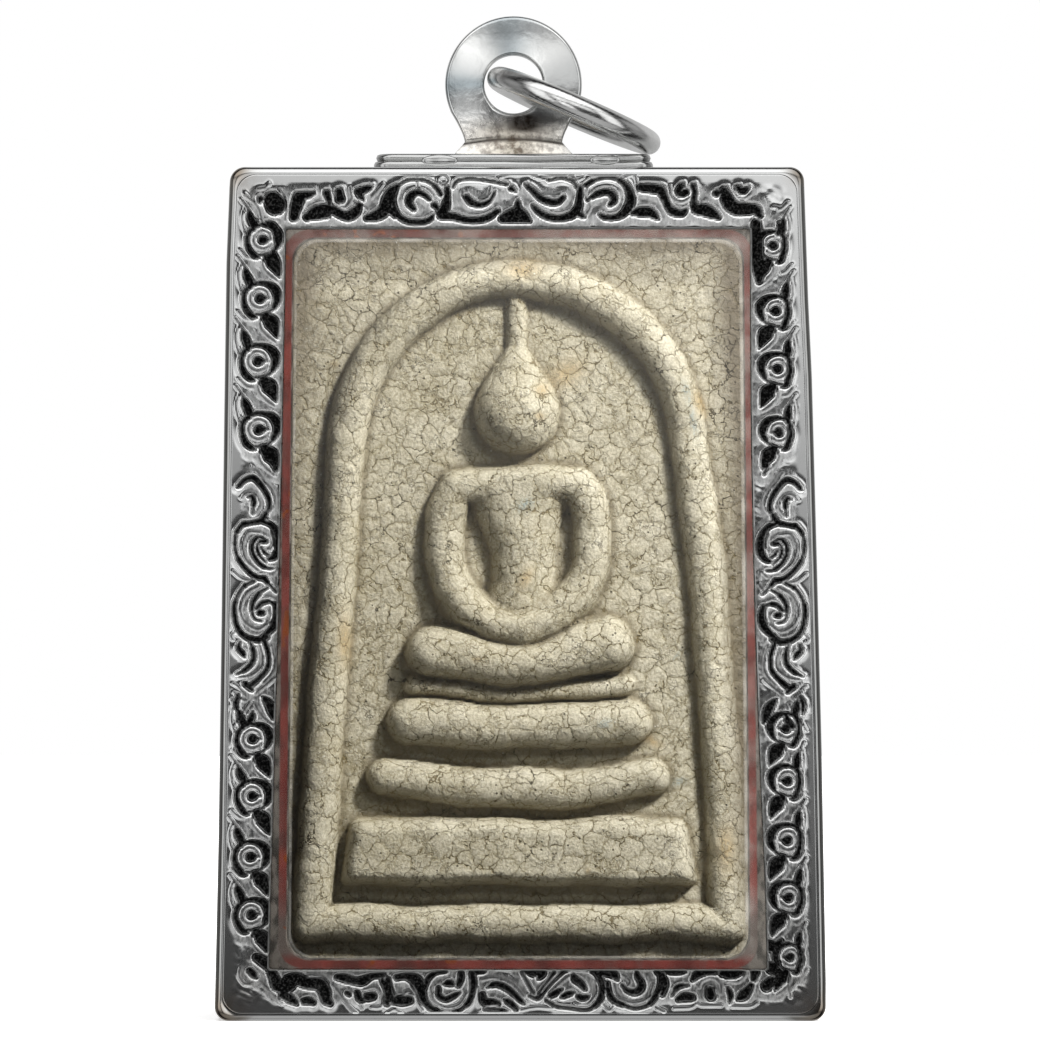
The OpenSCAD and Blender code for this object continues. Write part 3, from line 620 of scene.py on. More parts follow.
for label, values in (("hollow_shade", hollow_shade), ("crest_highlight", crest_highlight), ("blue", stained(BLUE_STAINS)),
                      ("ochre", stained(OCHRE_STAINS)), ("lip_shade", lip_shade)):
    point_values(clay, label, np.concatenate([values.ravel(), behind_zero]))

CLAY_LIGHT = (0.66, 0.615, 0.49)
CLAY_DARK = (0.50, 0.455, 0.335)
CRACK = (0.19, 0.15, 0.075)


def cells(tree, place, size, feature="DISTANCE_TO_EDGE", output="Distance"):
    """Irregular cells about size mm across."""
    return add_node(tree, "TexVoronoi", {"Vector": place, "Scale": 1.0 / (size * MM)},
                    feature=feature).outputs[output]


def vector(tree, operation, a, b):
    """One step between two vectors, or between a vector and the number that scales it."""
    return add_node(tree, "VectorMath", {0: a, "Scale" if operation == "SCALE" else 1: b},
                    operation=operation).outputs[0]


def dry_clay():
    """Matt clay: clouded beige, with crack nets of two sizes, pits and pale crystals, painted shade in the
    hollows, under the forms and near the lip, painted light on the crests and towards the right, and the
    bumps of all of these."""
    made, tree, shader, place = new_material("dry_clay")
    shake = add_node(tree, "TexNoise", {"Vector": place, "Scale": 1.0 / (0.55 * MM), "Detail": 2.0,
                                        "Roughness": 0.7}).outputs["Color"]
    centred = vector(tree, "SUBTRACT", shake, (0.5, 0.5, 0.5))
    bent = vector(tree, "ADD", place, vector(tree, "SCALE", centred, 0.65 * MM))
    cloud = grain(tree, place, 2.6, 3.0)
    patch = grain(tree, place, 1.1, 1.0)
    fine = grain(tree, place, 0.14, 2.0, roughness=0.65)
    wide_net = cells(tree, bent, 0.95)
    reach = between(tree, patch, 0.36, 0.68, (0.007, 0.027))
    crack = between(tree, maths(tree, "DIVIDE", wide_net, reach), 0.35, 1.25, (1.0, 0.0))
    open_here = between(tree, grain(tree, place, 0.9, 1.0, (1, 1, 1.4)), 0.33, 0.5)
    crack = times(tree, crack, between(tree, open_here, 0.0, 1.0, (0.35, 0.9)))
    hair = between(tree, cells(tree, bent, 0.48), 0.012, 0.045, (1.0, 0.0))
    hair = times(tree, hair, between(tree, patch, 0.36, 0.5, (1.0, 0.0)))
    net = maths(tree, "MAXIMUM", crack, times(tree, hair, 0.55))
    halo = between(tree, wide_net, 0.01, 0.15, (1.0, 0.0))
    pillow = between(tree, wide_net, 0.0, 0.28)
    speck = cells(tree, place, 0.46, "F1")
    which = grain(tree, place, 0.75, 1.0)
    pit = times(tree, between(tree, speck, 0.08, 0.16, (1.0, 0.0)), between(tree, which, 0.52, 0.58))
    crystal = times(tree, between(tree, speck, 0.06, 0.12, (1.0, 0.0)),
                    between(tree, which, 0.42, 0.47, (1.0, 0.0)))
    # painted light: paler towards the right
    lit_right = between(tree, add_node(tree, "SeparateXYZ", {0: place}).outputs[0], -8 * MM, 8 * MM, (0.0, 0.3))
    cell_tint = cells(tree, bent, 0.95, "F1", "Color")
    cell_grey = add_node(tree, "SeparateColor", {0: cell_tint}).outputs[0]
    ochre = times(tree, reading(tree, "ochre"), between(tree, fine, 0.3, 0.6, (0.15, 0.6)))
    blue = times(tree, reading(tree, "blue"), between(tree, fine, 0.4, 0.6, (0.1, 0.6)))
    crack_tone = mix(tree, between(tree, cloud, 0.52, 0.64), CRACK, (0.03, 0.024, 0.014))
    tone = mix(tree, between(tree, cloud, 0.3, 0.7), CLAY_DARK, CLAY_LIGHT)
    for share, colour in ((lit_right, (0.80, 0.76, 0.64)),
                          (times(tree, cell_grey, 0.16), (0.36, 0.33, 0.25)),
                          (times(tree, halo, 0.42), (0.36, 0.31, 0.18)),
                          (between(tree, fine, 0.36, 0.56, (0.34, 0.0)), CRACK),
                          (between(tree, fine, 0.5, 0.68, (0.0, 0.3)), (0.86, 0.83, 0.74)),
                          (times(tree, reading(tree, "crest_highlight"), 0.2), (0.78, 0.75, 0.64)),
                          (times(tree, reading(tree, "hollow_shade"), 0.75), (0.17, 0.14, 0.085)),
                          (times(tree, reading(tree, "lip_shade"), 0.8), (0.15, 0.12, 0.085)),
                          (ochre, (0.50, 0.33, 0.12)), (blue, (0.16, 0.27, 0.33)),
                          (times(tree, net, 0.95), crack_tone),
                          (times(tree, pit, 0.75), (0.09, 0.075, 0.05)),
                          (times(tree, crystal, 0.5), (0.95, 0.93, 0.86))):
        tone = mix(tree, share, tone, colour)
    shader.inputs["Specular IOR Level"].default_value = 0.55
    high = times(tree, which, 0.06)
    for layer, rise_mm in ((pillow, 0.022), (fine, 0.055), (maths(tree, "MAXIMUM", net, pit), -0.06),
                           (crystal, 0.02)):
        high = maths(tree, "ADD", high, times(tree, layer, rise_mm))
    paint(tree, shader, tone, between(tree, fine, 0.3, 0.7, (0.5, 0.72)), bump(tree, high, 1.0))
    return made


clay.data.materials.append(dry_clay())
# only the clay, the front window and the seal are lit by the raking lamp, and only the clay
# throws a shadow from it, as the case's lip would cut it off
shadow_makers = bpy.data.collections.new("raking_shadow_makers")
raked = bpy.data.collections.new("raking_receivers")
for collection in (shadow_makers, raked):
    collection.objects.link(clay)
raking.light_linking.blocker_collection = shadow_makers
raking.light_linking.receiver_collection = raked
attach(clay, "case")
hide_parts("clay_amulet")


# Front window.
# A plate of clear cast acrylic. Its thin flange is held behind the steel lip, and a raised block
# with a polished bevel fills the opening. The bevel and the block's sides catch a whitish line.

FIT_INSET, FIT_R = 0.65, 0.3    # of all pieces held inside the case's walls
BLOCK_BOTTOM_W, BLOCK_TOP_W = 24.4, 23.7
BLOCK_BOTTOM, BLOCK_TOP = 3.2, 41.25
WINDOW_R, BEVEL = 1.25, 0.18
FLANGE_FRONT, FLANGE_BACK, BLOCK_FRONT = -3.5, -2.9, -4.0


def block_line(inset, r=WINDOW_R):
    return frame_line(BLOCK_BOTTOM_W, BLOCK_TOP_W, BLOCK_BOTTOM, BLOCK_TOP, inset, r)


def clear_acrylic(name, haze):
    """Clear acrylic: see-through with a Fresnel reflection, and cloudy white along its edges."""
    made, tree, shader, place = new_material(name)
    clear = add_node(tree, "BsdfTransparent", {"Color": (0.985, 0.99, 0.985, 1.0)}).outputs[0]
    gloss = add_node(tree, "BsdfGlossy", {"Color": grey(1.0), "Roughness": haze}).outputs[0]
    share = add_node(tree, "Fresnel", {"IOR": 1.42}).outputs[0]
    # the view from the side isn't mirrored back where it would leave the plate
    leaving = times(tree, add_node(tree, "NewGeometry").outputs["Backfacing"],
                    add_node(tree, "LightPath").outputs["Is Camera Ray"], 0.92)
    share = maths(tree, "MINIMUM", share, maths(tree, "SUBTRACT", 1.0, leaving))
    glass = add_node(tree, "MixShader", {0: share, 1: clear, 2: gloss}).outputs[0]
    shader.inputs["Base Color"].default_value = (0.40, 0.39, 0.365, 1.0)
    shader.inputs["Roughness"].default_value = 0.3
    streak = between(tree, grain(tree, place, 1.4, 3.0), 0.32, 0.68, (0.25, 1.0))
    cloudy = times(tree, reading(tree, "edge"), 0.5, streak)
    whole = add_node(tree, "MixShader", {0: cloudy, 1: glass, 2: shader.outputs[0]}).outputs[0]
    tree.links.new(whole, tree.nodes["Material Output"].inputs["Surface"])
    return made


fitted = case_line(FIT_INSET, FIT_R)
# rows of the skin from back to front: outline, y and how cloudy the edge is
pane_rows = [(fitted, FLANGE_BACK, 0.0), (fitted, FLANGE_FRONT, 0.0)]
pane_rows += [(block_line(inset), depth, cloudy) for inset, depth, cloudy in (
    (0.0, FLANGE_FRONT, 0.7), (0.0, BLOCK_FRONT + BEVEL, 0.9), (0.03, BLOCK_FRONT + 0.09, 1.0),
    (0.09, BLOCK_FRONT + 0.03, 1.0), (BEVEL, BLOCK_FRONT, 0.8), (BEVEL + 0.06, BLOCK_FRONT, 0.0))]
front_pane = surface("front_pane", np.stack([at_depth(line, depth) for line, depth, _ in pane_rows], 1), False)
point_values(front_pane, "edge", np.tile([cloudy for _, _, cloudy in pane_rows], len(fitted)))
front_pane.data.materials.append(clear_acrylic("window_acrylic", 0.03))
raked.objects.link(front_pane)
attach(front_pane, "case")
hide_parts("front_window")


# Back window.
# A clear acrylic tray, pressed into the case from behind against the red seal. Its walls stand
# round the clay and its plate closes the case, held by the lip at the back.

TRAY_FRONT, TRAY_BACK, TRAY_WALL, TRAY_FLOOR = -2.2, 3.65, 0.8, 0.9
hollow_line = case_line(FIT_INSET + TRAY_WALL, FIT_R)
tray_rows = [at_depth(fitted, TRAY_BACK), at_depth(fitted, TRAY_FRONT),
             at_depth(hollow_line, TRAY_FRONT), at_depth(hollow_line, TRAY_BACK - TRAY_FLOOR)]
back_tray = surface("back_tray", np.stack(tray_rows, 1), False)
point_values(back_tray, "edge", np.tile([0.0, 0.6, 0.6, 0.0], len(fitted)))
back_tray.data.materials.append(clear_acrylic("tray_acrylic", 0.04))
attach(back_tray, "case")
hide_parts("back_window")


# Red seal.
# A thin ring of red sealing compound between the windows, seen as a narrow red line inside the
# steel lip. It is crimson where it is whole, and pinkish, orange or whitish where it has lifted.

SEAL_FRONT, SEAL_BACK = -2.85, -2.25
# rows on the window's side: inset from the window's block, y, and 1 where it is red
seal_inner = [(-0.52, SEAL_FRONT, 0), (-0.45, SEAL_FRONT, 1), (-0.12, SEAL_FRONT, 1), (-0.05, SEAL_FRONT, 0),
              (0.0, SEAL_FRONT + 0.08, 0), (0.0, SEAL_BACK, 0)]
rows = [at_depth(fitted, SEAL_BACK), at_depth(fitted, SEAL_FRONT)]
rows += [at_depth(block_line(inset), depth) for inset, depth, _ in seal_inner]
seal_ring = surface("seal_ring", np.stack(rows, 1))
point_values(seal_ring, "crimson", np.tile([0, 0] + [red for _, _, red in seal_inner], len(fitted)))


def seal_compound():
    made, tree, shader, place = new_material("seal_compound")
    x_at, _, z_at = add_node(tree, "SeparateXYZ", {0: place}).outputs
    cloud = grain(tree, place, 1.6, 4.0)
    blot = grain(tree, place, 0.5, 3.0, (1, 1, 0.5))
    tone = mix(tree, between(tree, cloud, 0.35, 0.62), (0.14, 0.03, 0.026), (0.26, 0.058, 0.05))
    right = between(tree, x_at, -2 * MM, 6 * MM)
    pink = times(tree, between(tree, blot, 0.5, 0.66), right, 0.5)
    tone = mix(tree, pink, tone, (0.18, 0.085, 0.075))
    # painted shadow of the lip: darker towards the top
    high = between(tree, z_at, 36.5 * MM, 41.3 * MM)
    tone = mix(tree, times(tree, high, 0.5), tone, (0.08, 0.035, 0.03))
    left = between(tree, x_at, -6 * MM, 2 * MM, (1.0, 0.0))
    brown = times(tree, left, between(tree, blot, 0.4, 0.65, (0.05, 0.3)))
    tone = mix(tree, brown, tone, (0.06, 0.04, 0.032))
    low = window(tree, z_at, (3.0 * MM, 3.6 * MM), (4.6 * MM, 7.2 * MM))
    tone = mix(tree, times(tree, low, 0.85), tone, (0.13, 0.12, 0.11))
    orange = between(tree, grain(tree, place, 0.9, 1.0), 0.62, 0.68)
    tone = mix(tree, times(tree, orange, left), tone, (0.27, 0.06, 0.012))
    pale = mix(tree, between(tree, blot, 0.4, 0.6), (0.04, 0.036, 0.032), (0.20, 0.18, 0.165))
    tone = mix(tree, reading(tree, "crimson"), pale, tone)
    paint(tree, shader, tone, 0.45, bump(tree, blot, 0.04))
    return made


seal_ring.data.materials.append(seal_compound())
raked.objects.link(seal_ring)
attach(seal_ring, "case")
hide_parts("red_seal")


# Strap.
# Two thin steel plates, one on the other, welded along the case's top to carry the hanger. Each
# has a rounded, polished edge, and solder has run into two flat ovals on the front edge.

HANGER_X = -0.24                # the hanger's middle line
STRAP_L, STRAP_W, STRAP_CORNER = 14.8, 5.0, 0.8
SOFT = 0.19                     # radius of the plates' edges
# name, bottom and top above the case, and how far each plate is drawn in
PLATES = [("lower", -0.1, 0.42, 0.0), ("upper", 0.38, 0.8, 0.12)]
# name, x, z, half length and half height of each oval, which stands out by SOLDER_OUT
SOLDER = [("left", -4.15, 45.42, 0.95, 0.33), ("right", 4.6, 45.46, 0.8, 0.3)]
SOLDER_OUT, SOLDER_SUNK = 0.16, 0.06
strap_parts = []
for label, low, high, draw_in in PLATES:
    half_edge = [(1.6, 0.0), (1.0, 0.0), (0.3, 0.3), (0.0, 1.0)]       # inset and height, in SOFTs
    rows = []
    for inset, height in [(i, CASE_H + low + SOFT * h) for i, h in half_edge] \
            + [(i, CASE_H + high - SOFT * h) for i, h in half_edge[::-1]]:
        line = frame_line(STRAP_L, STRAP_L, -STRAP_W / 2, STRAP_W / 2, SOFT * inset + draw_in, STRAP_CORNER,
                          12, 70, 8)
        rows.append(np.column_stack([HANGER_X + line[:, 0], line[:, 1], np.full(len(line), height)]))
    strap_parts.append(surface(f"strap_{label}", np.stack(rows, 1), False))
for label, ox, oz, long, high in SOLDER:
    a = np.linspace(0, 2 * math.pi, 40, endpoint=False)[:, None]
    b = np.linspace(math.pi - 0.02, 0.02, 18)[None, :]
    oval = np.stack([ox + long * np.cos(b) + 0 * a,
                     -STRAP_W / 2 + SOLDER_SUNK - SOLDER_OUT * np.sin(b) * np.sin(a),
                     oz + high * np.sin(b) * np.cos(a)], -1)
    strap_parts.append(surface(f"solder_{label}", oval, False))
strap_steel = polished_steel("strap_steel", 0.16, 0.002, 1.1)
for piece in strap_parts:
    # a duller, darker tone all over the strap
    point_values(piece, "dull_and_shade", np.full(len(piece.data.vertices), 0.4))
    piece.data.materials.append(strap_steel)
    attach(piece, "case")
    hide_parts("steel_case")


# Hanger.
# A thick steel disc with a hole, its face dished like a shallow cone, on a short neck whose foot
# flares out and is soldered to the strap. The disc is polished, with painted highlights and painted
# bluish reflections round it; the neck is rougher, with a painted warm, mottled reflection, and painted
# shade under the hole and along a curved crease over its foot.

DISC_R, HOLE_R = 3.64, 1.56
DISC_Z = CASE_H + 4.6
ROUND_FROM, ROUND_TO = -22.0, 202.0     # degrees of the disc's own edge; the neck takes the rest
FOOT_HALF, FOOT_LOW = 3.1, -3.86
# the neck's left edge from the disc down, about the disc's middle
NECK_SIDE = [(-3.35, -1.45), (-3.0, -2.05), (-2.72, -2.62), (-2.6, -3.05), (-2.66, -3.4), (-2.95, -3.66),
             (-3.22, -3.8)]
arc_at = np.radians(np.linspace(ROUND_FROM, ROUND_TO, 150))
left_edge = curve(NECK_SIDE, 8)
edge_line = np.concatenate([np.column_stack([DISC_R * np.cos(arc_at), DISC_R * np.sin(arc_at)]), left_edge,
                            np.column_stack([np.linspace(-FOOT_HALF, FOOT_HALF, 40), np.full(40, FOOT_LOW)]),
                            (left_edge * (-1, 1))[::-1]])
# the edge as 360 even steps, and beside each a point on the hole
step = np.hypot(*np.diff(np.concatenate([edge_line, edge_line[:1]]), axis=0).T)
along = np.concatenate([[0], np.cumsum(step)])
whole_edge = step.sum()
even = np.linspace(0, whole_edge, 360, endpoint=False)
edge_line = np.column_stack([np.interp(even, along, np.append(column, column[0])) for column in edge_line.T])
arc_len = DISC_R * math.radians(ROUND_TO - ROUND_FROM)
inner_at = np.radians(np.interp(even, [0, arc_len, arc_len + 2.8, whole_edge - 2.8, whole_edge],
                                [ROUND_FROM, ROUND_TO, 230.0, 310.0, ROUND_FROM + 360.0]))
inner_line = HOLE_R * np.column_stack([np.cos(inner_at), np.sin(inner_at)])
shares = np.concatenate([[0, 0.012, 0.035, 0.07], np.linspace(0.11, 0.92, 34), [0.95, 0.975, 0.992, 1.0]])
grid = inner_line[:, None, :] + (edge_line - inner_line)[:, None, :] * shares[None, :, None]
gx, gz = grid[..., 0], grid[..., 1]
radius = np.hypot(gx, gz)
disc_half = 0.60 - 0.10 * (radius - HOLE_R) - 0.035 * (radius - HOLE_R) ** 2
neck_share = np.clip((-1.9 - gz) / 1.2, 0, 1) ** 2
neck_share = neck_share * (3 - 2 * neck_share)
crease = gz + 2.95 + 0.036 * gx ** 2
foot_half = 0.46 + 0.38 * np.clip(-crease / 0.8, 0, 1) ** 1.5 - 0.07 * np.exp(-(crease / 0.12) ** 2)
half = disc_half * (1 - neck_share) + foot_half * neck_share
for lip_share, soft in ((shares, 0.05), (1 - shares, 0.07)):
    fall = np.clip(1 - lip_share / soft, 0, 1)[None, :]
    half = half - (1 - np.sqrt(1 - fall ** 2)) * 0.2
front_grid, back_grid = (np.stack([HANGER_X + gx, side * half, DISC_Z + gz], -1) for side in (-1, 1))
hanger_disc = surface("hanger_disc", np.concatenate([front_grid, back_grid[:, ::-1]], 1)[::-1])
way_round = np.degrees(np.arctan2(gz, gx)) % 360
# painted shade: a dark patch under the hole, where the ring lies, and a dark line along the crease
ring_and_crease_shade = 1.3 * np.exp(-((gx - 0.6) / 0.95) ** 2 - ((gz + 2.05) / 0.5) ** 4)
ring_and_crease_shade = ring_and_crease_shade + 0.9 * np.exp(-(crease / 0.1) ** 2) * (gz < -2.4)
# painted light round the disc: pale highlights and bluish reflections at set angles
for label, values in (
        ("neck", np.clip((-1.55 - gz) / 0.9, 0, 1) * np.clip(1 - np.abs(gx) / 4.5, 0, 1)), ("ring_and_crease_shade", ring_and_crease_shade),
        ("painted_gleam", sum(np.exp(-((way_round - at) / 17) ** 2) for at in (138, 222, 42))),
        ("painted_cool_reflection", np.exp(-((way_round - 180) / 13) ** 2) + 0.8 * np.exp(-((way_round - 96) / 24) ** 2))):
    values = np.clip(values, 0, 1)
    point_values(hanger_disc, label, np.concatenate([values, values[:, ::-1]], 1)[::-1])


def hanger_steel():
    made, tree, shader, place = new_material("hanger_steel")
    cloud = grain(tree, place, 1.2, 4.0)
    blot = grain(tree, place, 0.45, 4.0, roughness=0.65)
    tone = mix(tree, cloud, (0.60, 0.61, 0.605), (0.76, 0.77, 0.765))
    tone = mix(tree, times(tree, reading(tree, "painted_cool_reflection"), 0.8), tone, (0.29, 0.345, 0.37))
    tone = mix(tree, times(tree, reading(tree, "painted_gleam"), 0.8), tone, (0.97, 0.975, 0.96))
    # painted reflection: a warm, mottled brown on the neck
    warm = mix(tree, between(tree, blot, 0.35, 0.62), (0.24, 0.185, 0.135), (0.95, 0.88, 0.76))
    tone = mix(tree, reading(tree, "neck"), tone, warm)
    dark = times(tree, reading(tree, "ring_and_crease_shade"), between(tree, blot, 0.3, 0.6, (0.7, 1.0)))
    tone = mix(tree, dark, tone, (0.05, 0.038, 0.03))
    rough = maths(tree, "ADD", between(tree, cloud, 0.3, 0.7, (0.14, 0.2)),
                  times(tree, reading(tree, "neck"), 0.22))
    mottled = bump(tree, times(tree, blot, reading(tree, "neck")), 0.05, bump(tree, cloud, 0.03))
    paint(tree, shader, tone, rough, mottled, 1.0)
    return made


hanger_disc.data.materials.append(hanger_steel())
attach(hanger_disc, "case")
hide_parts("steel_case")


# Jump ring.
# A closed hoop of steel wire hanging loose in the disc's hole, its far side down on the strap. It
# is worn along its outside, scratched round its length, and carries a painted dark reflection beside the hole.

RING_R, WIRE_R = 4.35, 0.622
HANG = np.array([-1.03274, 0.0, 49.92029])
DIP = math.radians(23.11)
ring_way = np.array([math.cos(DIP), 0.0, -math.sin(DIP)])
ring_up = np.array([math.sin(DIP), 0.0, math.cos(DIP)])
a = np.linspace(0, 2 * math.pi, 200, endpoint=False)[:, None, None]
b = np.linspace(0, 2 * math.pi, 40, endpoint=False)[None, :, None]
outward = -np.cos(a) * ring_way + np.sin(a) * np.array([0.0, 1.0, 0.0])
ring_points = HANG + RING_R * ring_way + RING_R * outward + WIRE_R * (np.cos(b) * outward + np.sin(b) * ring_up)
ring_wire = surface("ring_wire", ring_points[:, ::-1])
# a painted dark reflection: at 5.75 radians round the ring, on the wire's upper side
dark_reflection = np.exp(-((a[..., 0] - 5.75) / 0.28) ** 2) * np.clip(np.sin(b[..., 0] + 0.9), 0, 1)
point_values(ring_wire, "dark_reflection", dark_reflection[:, ::-1])


def scratched_wire():
    made, tree, shader, place = new_material("scratched_wire")
    cloud = grain(tree, place, 0.9, 4.0)
    nick = grain(tree, place, 0.10, 3.0, (0.25, 0.25, 2.5))
    tone = mix(tree, cloud, (0.72, 0.72, 0.71), (0.86, 0.86, 0.85))
    dark = times(tree, reading(tree, "dark_reflection"), between(tree, cloud, 0.3, 0.6, (0.3, 0.9)))
    tone = mix(tree, dark, tone, (0.09, 0.08, 0.075))
    paint(tree, shader, tone, between(tree, nick, 0.35, 0.7, (0.12, 0.26)), bump(tree, nick, 0.004), 1.0)
    return made


ring_wire.data.materials.append(scratched_wire())
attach(ring_wire, "ring")
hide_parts("jump_ring")


# Steel case: chased lip.
# The lip turned in round the window is chased by hand: bosses and leaves up both sides, scrolls
# at mid height and along the top and bottom. Pits are cut down to a black ground, and the metal
# left standing has rounded edges, pale from burnishing and with a painted highlight, and a darker,
# hatched middle. Painted shade darkens it towards the bottom.

OPEN_BOTTOM_W, OPEN_TOP_W, OPEN_BOTTOM, OPEN_TOP = 26.2, 24.4, 2.75, 41.7    # the window's opening
PIT_DEPTH, SCORE_DEPTH = 0.26, 0.07
PILLOW, PILLOW_REACH = 0.085, 0.42  # how far standing metal sinks to its edge, and over what width
EDGE_ROUND = 0.13               # how far the rounding of a cut edge runs in
BELLY = 0.035                   # how far the hatched middles sink
# A chart row is x, z and half width of a pit, or x and z of a scored line, in mm. Those of a boss
# lie about its centre, with x towards the window; the rest is charted on the lip itself.
BOSS_PITS = [
    [(0.3, -0.97, 0.2), (0.58, -1.27, 0.35), (0.78, -1.66, 0.2), (0.92, -2.05, 0.03)], [(-0.1, 0.84, 0.05),
     (0.3, 0.8, 0.08), (0.68, 0.62, 0.15), (0.9, 0.25, 0.18), (0.88, -0.15, 0.13), (0.66, -0.56, 0.04)],
    [(-0.1, 0.84, 0.05), (-0.5, 0.69, 0.06), (-0.79, 0.3, 0.06), (-0.84, -0.15, 0.07), (-0.68, -0.6, 0.1),
     (-0.42, -0.88, 0.1), (-0.15, -0.96, 0.03)], [(-0.2, -0.84, 0.035), (0.3, -0.8, 0.035),
     (0.66, -0.56, 0.04)], [(-0.8, 1.64, 0.02), (-0.68, 1.25, 0.13), (-0.53, 0.94, 0.16), (-0.5, 0.62, 0.07)],
    [(0.0, 0.0, 0.19), (0.02, 0.01, 0.19)], [(0.0, 0.0, 0.12), (0.36, 0.05, 0.035)]]
BOSS_LINES = [
    [(-1.0, 2.55), (-0.6, 2.18), (-0.3, 2.12)], [(-1.15, 2.2), (-0.8, 1.7)], [(-0.95, 1.85), (-1.13, 1.35),
     (-1.1, 0.85), (-0.93, 0.38), (-0.74, 0.5)], [(0.06, -1.02), (0.04, -1.45), (0.38, -1.95), (0.84, -2.28)],
    [(0.5, 0.0), (0.35, 0.36), (0.0, 0.5), (-0.35, 0.36), (-0.5, 0.0), (-0.35, -0.36), (0.0, -0.5),
     (0.35, -0.36)]]
BOSSES = [                      # x, z and size; those with x below 0 are on the left
    (-13.45, 41.15, 0.95), (-13.6, 38.05, 1.0), (-13.7, 34.75, 1.03), (-13.65, 31.15, 1.05),
    (-13.98, 14.85, 0.97), (-14.0, 11.85, 0.97), (-14.1, 8.65, 0.97), (-14.05, 5.6, 0.97),
    (13.45, 40.85, 0.9), (13.6, 37.4, 0.95), (13.7, 34.35, 0.97), (13.75, 31.0, 0.92), (14.15, 15.4, 0.95),
    (14.2, 12.65, 0.95), (14.22, 9.5, 1.0), (14.28, 6.5, 0.97), (14.35, 3.35, 0.85)]
# middle of a side, given for the left and mirrored to the right
SIDE_PITS = [
    [(-14.75, 28.15, 0.05), (-14.4, 28.5, 0.07), (-13.95, 28.62, 0.1), (-13.55, 28.25, 0.09),
     (-13.2, 27.7, 0.08), (-13.08, 27.2, 0.06), (-13.25, 26.8, 0.05), (-13.5, 26.4, 0.09),
     (-14.0, 26.27, 0.06), (-14.45, 26.2, 0.09)], [(-14.2, 27.62, 0.03), (-14.02, 27.62, 0.06),
     (-13.9, 27.35, 0.08), (-13.93, 27.1, 0.05), (-13.98, 26.75, 0.03)], [(-14.5, 26.2, 0.06),
     (-14.85, 25.7, 0.05), (-14.9, 25.0, 0.05), (-14.75, 24.4, 0.05), (-14.35, 23.85, 0.06),
     (-13.85, 23.42, 0.07), (-13.35, 23.33, 0.09)], [(-13.4, 26.3, 0.06), (-12.95, 26.1, 0.08),
     (-12.65, 25.55, 0.13), (-12.6, 24.95, 0.16), (-12.8, 24.5, 0.12), (-13.15, 24.32, 0.05)],
    [(-13.4, 25.42, 0.03), (-13.7, 25.48, 0.05), (-13.98, 25.15, 0.06), (-13.98, 24.7, 0.06),
     (-13.7, 24.2, 0.06), (-13.3, 23.9, 0.05), (-12.9, 23.85, 0.03)], [(-13.3, 25.28, 0.07),
     (-13.6, 25.25, 0.05), (-13.75, 24.95, 0.05), (-13.6, 24.5, 0.05), (-13.3, 24.2, 0.03)],
    [(-13.55, 24.95, 0.02), (-13.4, 24.72, 0.05), (-13.15, 24.55, 0.04)], [(-13.35, 23.33, 0.09),
     (-13.05, 22.95, 0.04), (-12.7, 22.6, 0.03)], [(-13.9, 23.2, 0.05), (-14.5, 22.85, 0.05),
     (-14.9, 22.1, 0.05), (-14.92, 21.3, 0.06), (-14.7, 20.6, 0.07), (-14.2, 20.18, 0.09), (-13.6, 20.1, 0.1),
     (-13.2, 20.22, 0.06)], [(-12.75, 21.95, 0.07), (-12.65, 21.4, 0.14), (-12.8, 20.9, 0.15),
     (-13.15, 20.5, 0.1), (-13.5, 20.2, 0.05)], [(-13.15, 22.85, 0.02), (-13.6, 22.58, 0.05),
     (-13.93, 22.1, 0.06), (-14.0, 21.6, 0.05), (-13.85, 21.2, 0.04), (-13.5, 21.1, 0.03)],
    [(-12.75, 21.95, 0.05), (-13.1, 22.1, 0.05), (-13.5, 22.02, 0.06), (-13.8, 21.7, 0.05)],
    [(-13.62, 21.5, 0.11), (-13.45, 21.5, 0.08)], [(-13.4, 20.1, 0.07), (-13.15, 19.35, 0.07),
     (-13.2, 18.6, 0.07), (-13.6, 18.1, 0.07), (-14.0, 17.75, 0.09), (-14.15, 17.7, 0.05)],
    [(-14.1, 19.98, 0.04), (-13.93, 19.4, 0.06), (-14.0, 18.9, 0.07), (-14.4, 18.5, 0.06),
     (-14.8, 18.3, 0.03)], [(-14.65, 19.95, 0.03), (-14.72, 19.65, 0.06), (-14.5, 19.4, 0.08),
     (-14.4, 19.2, 0.04)], [(-14.35, 17.75, 0.1), (-13.98, 17.42, 0.05)], [(-13.4, 17.05, 0.05),
     (-13.08, 16.65, 0.19), (-12.9, 16.2, 0.17), (-12.78, 15.85, 0.05)], [(-14.72, 17.2, 0.03),
     (-14.85, 16.75, 0.08), (-14.8, 16.35, 0.04)], [(-13.98, 16.3, 0.03), (-14.03, 15.95, 0.12),
     (-14.3, 15.62, 0.1)], [(-12.98, 29.9, 0.1), (-12.95, 29.4, 0.06), (-12.8, 28.9, 0.03)]]
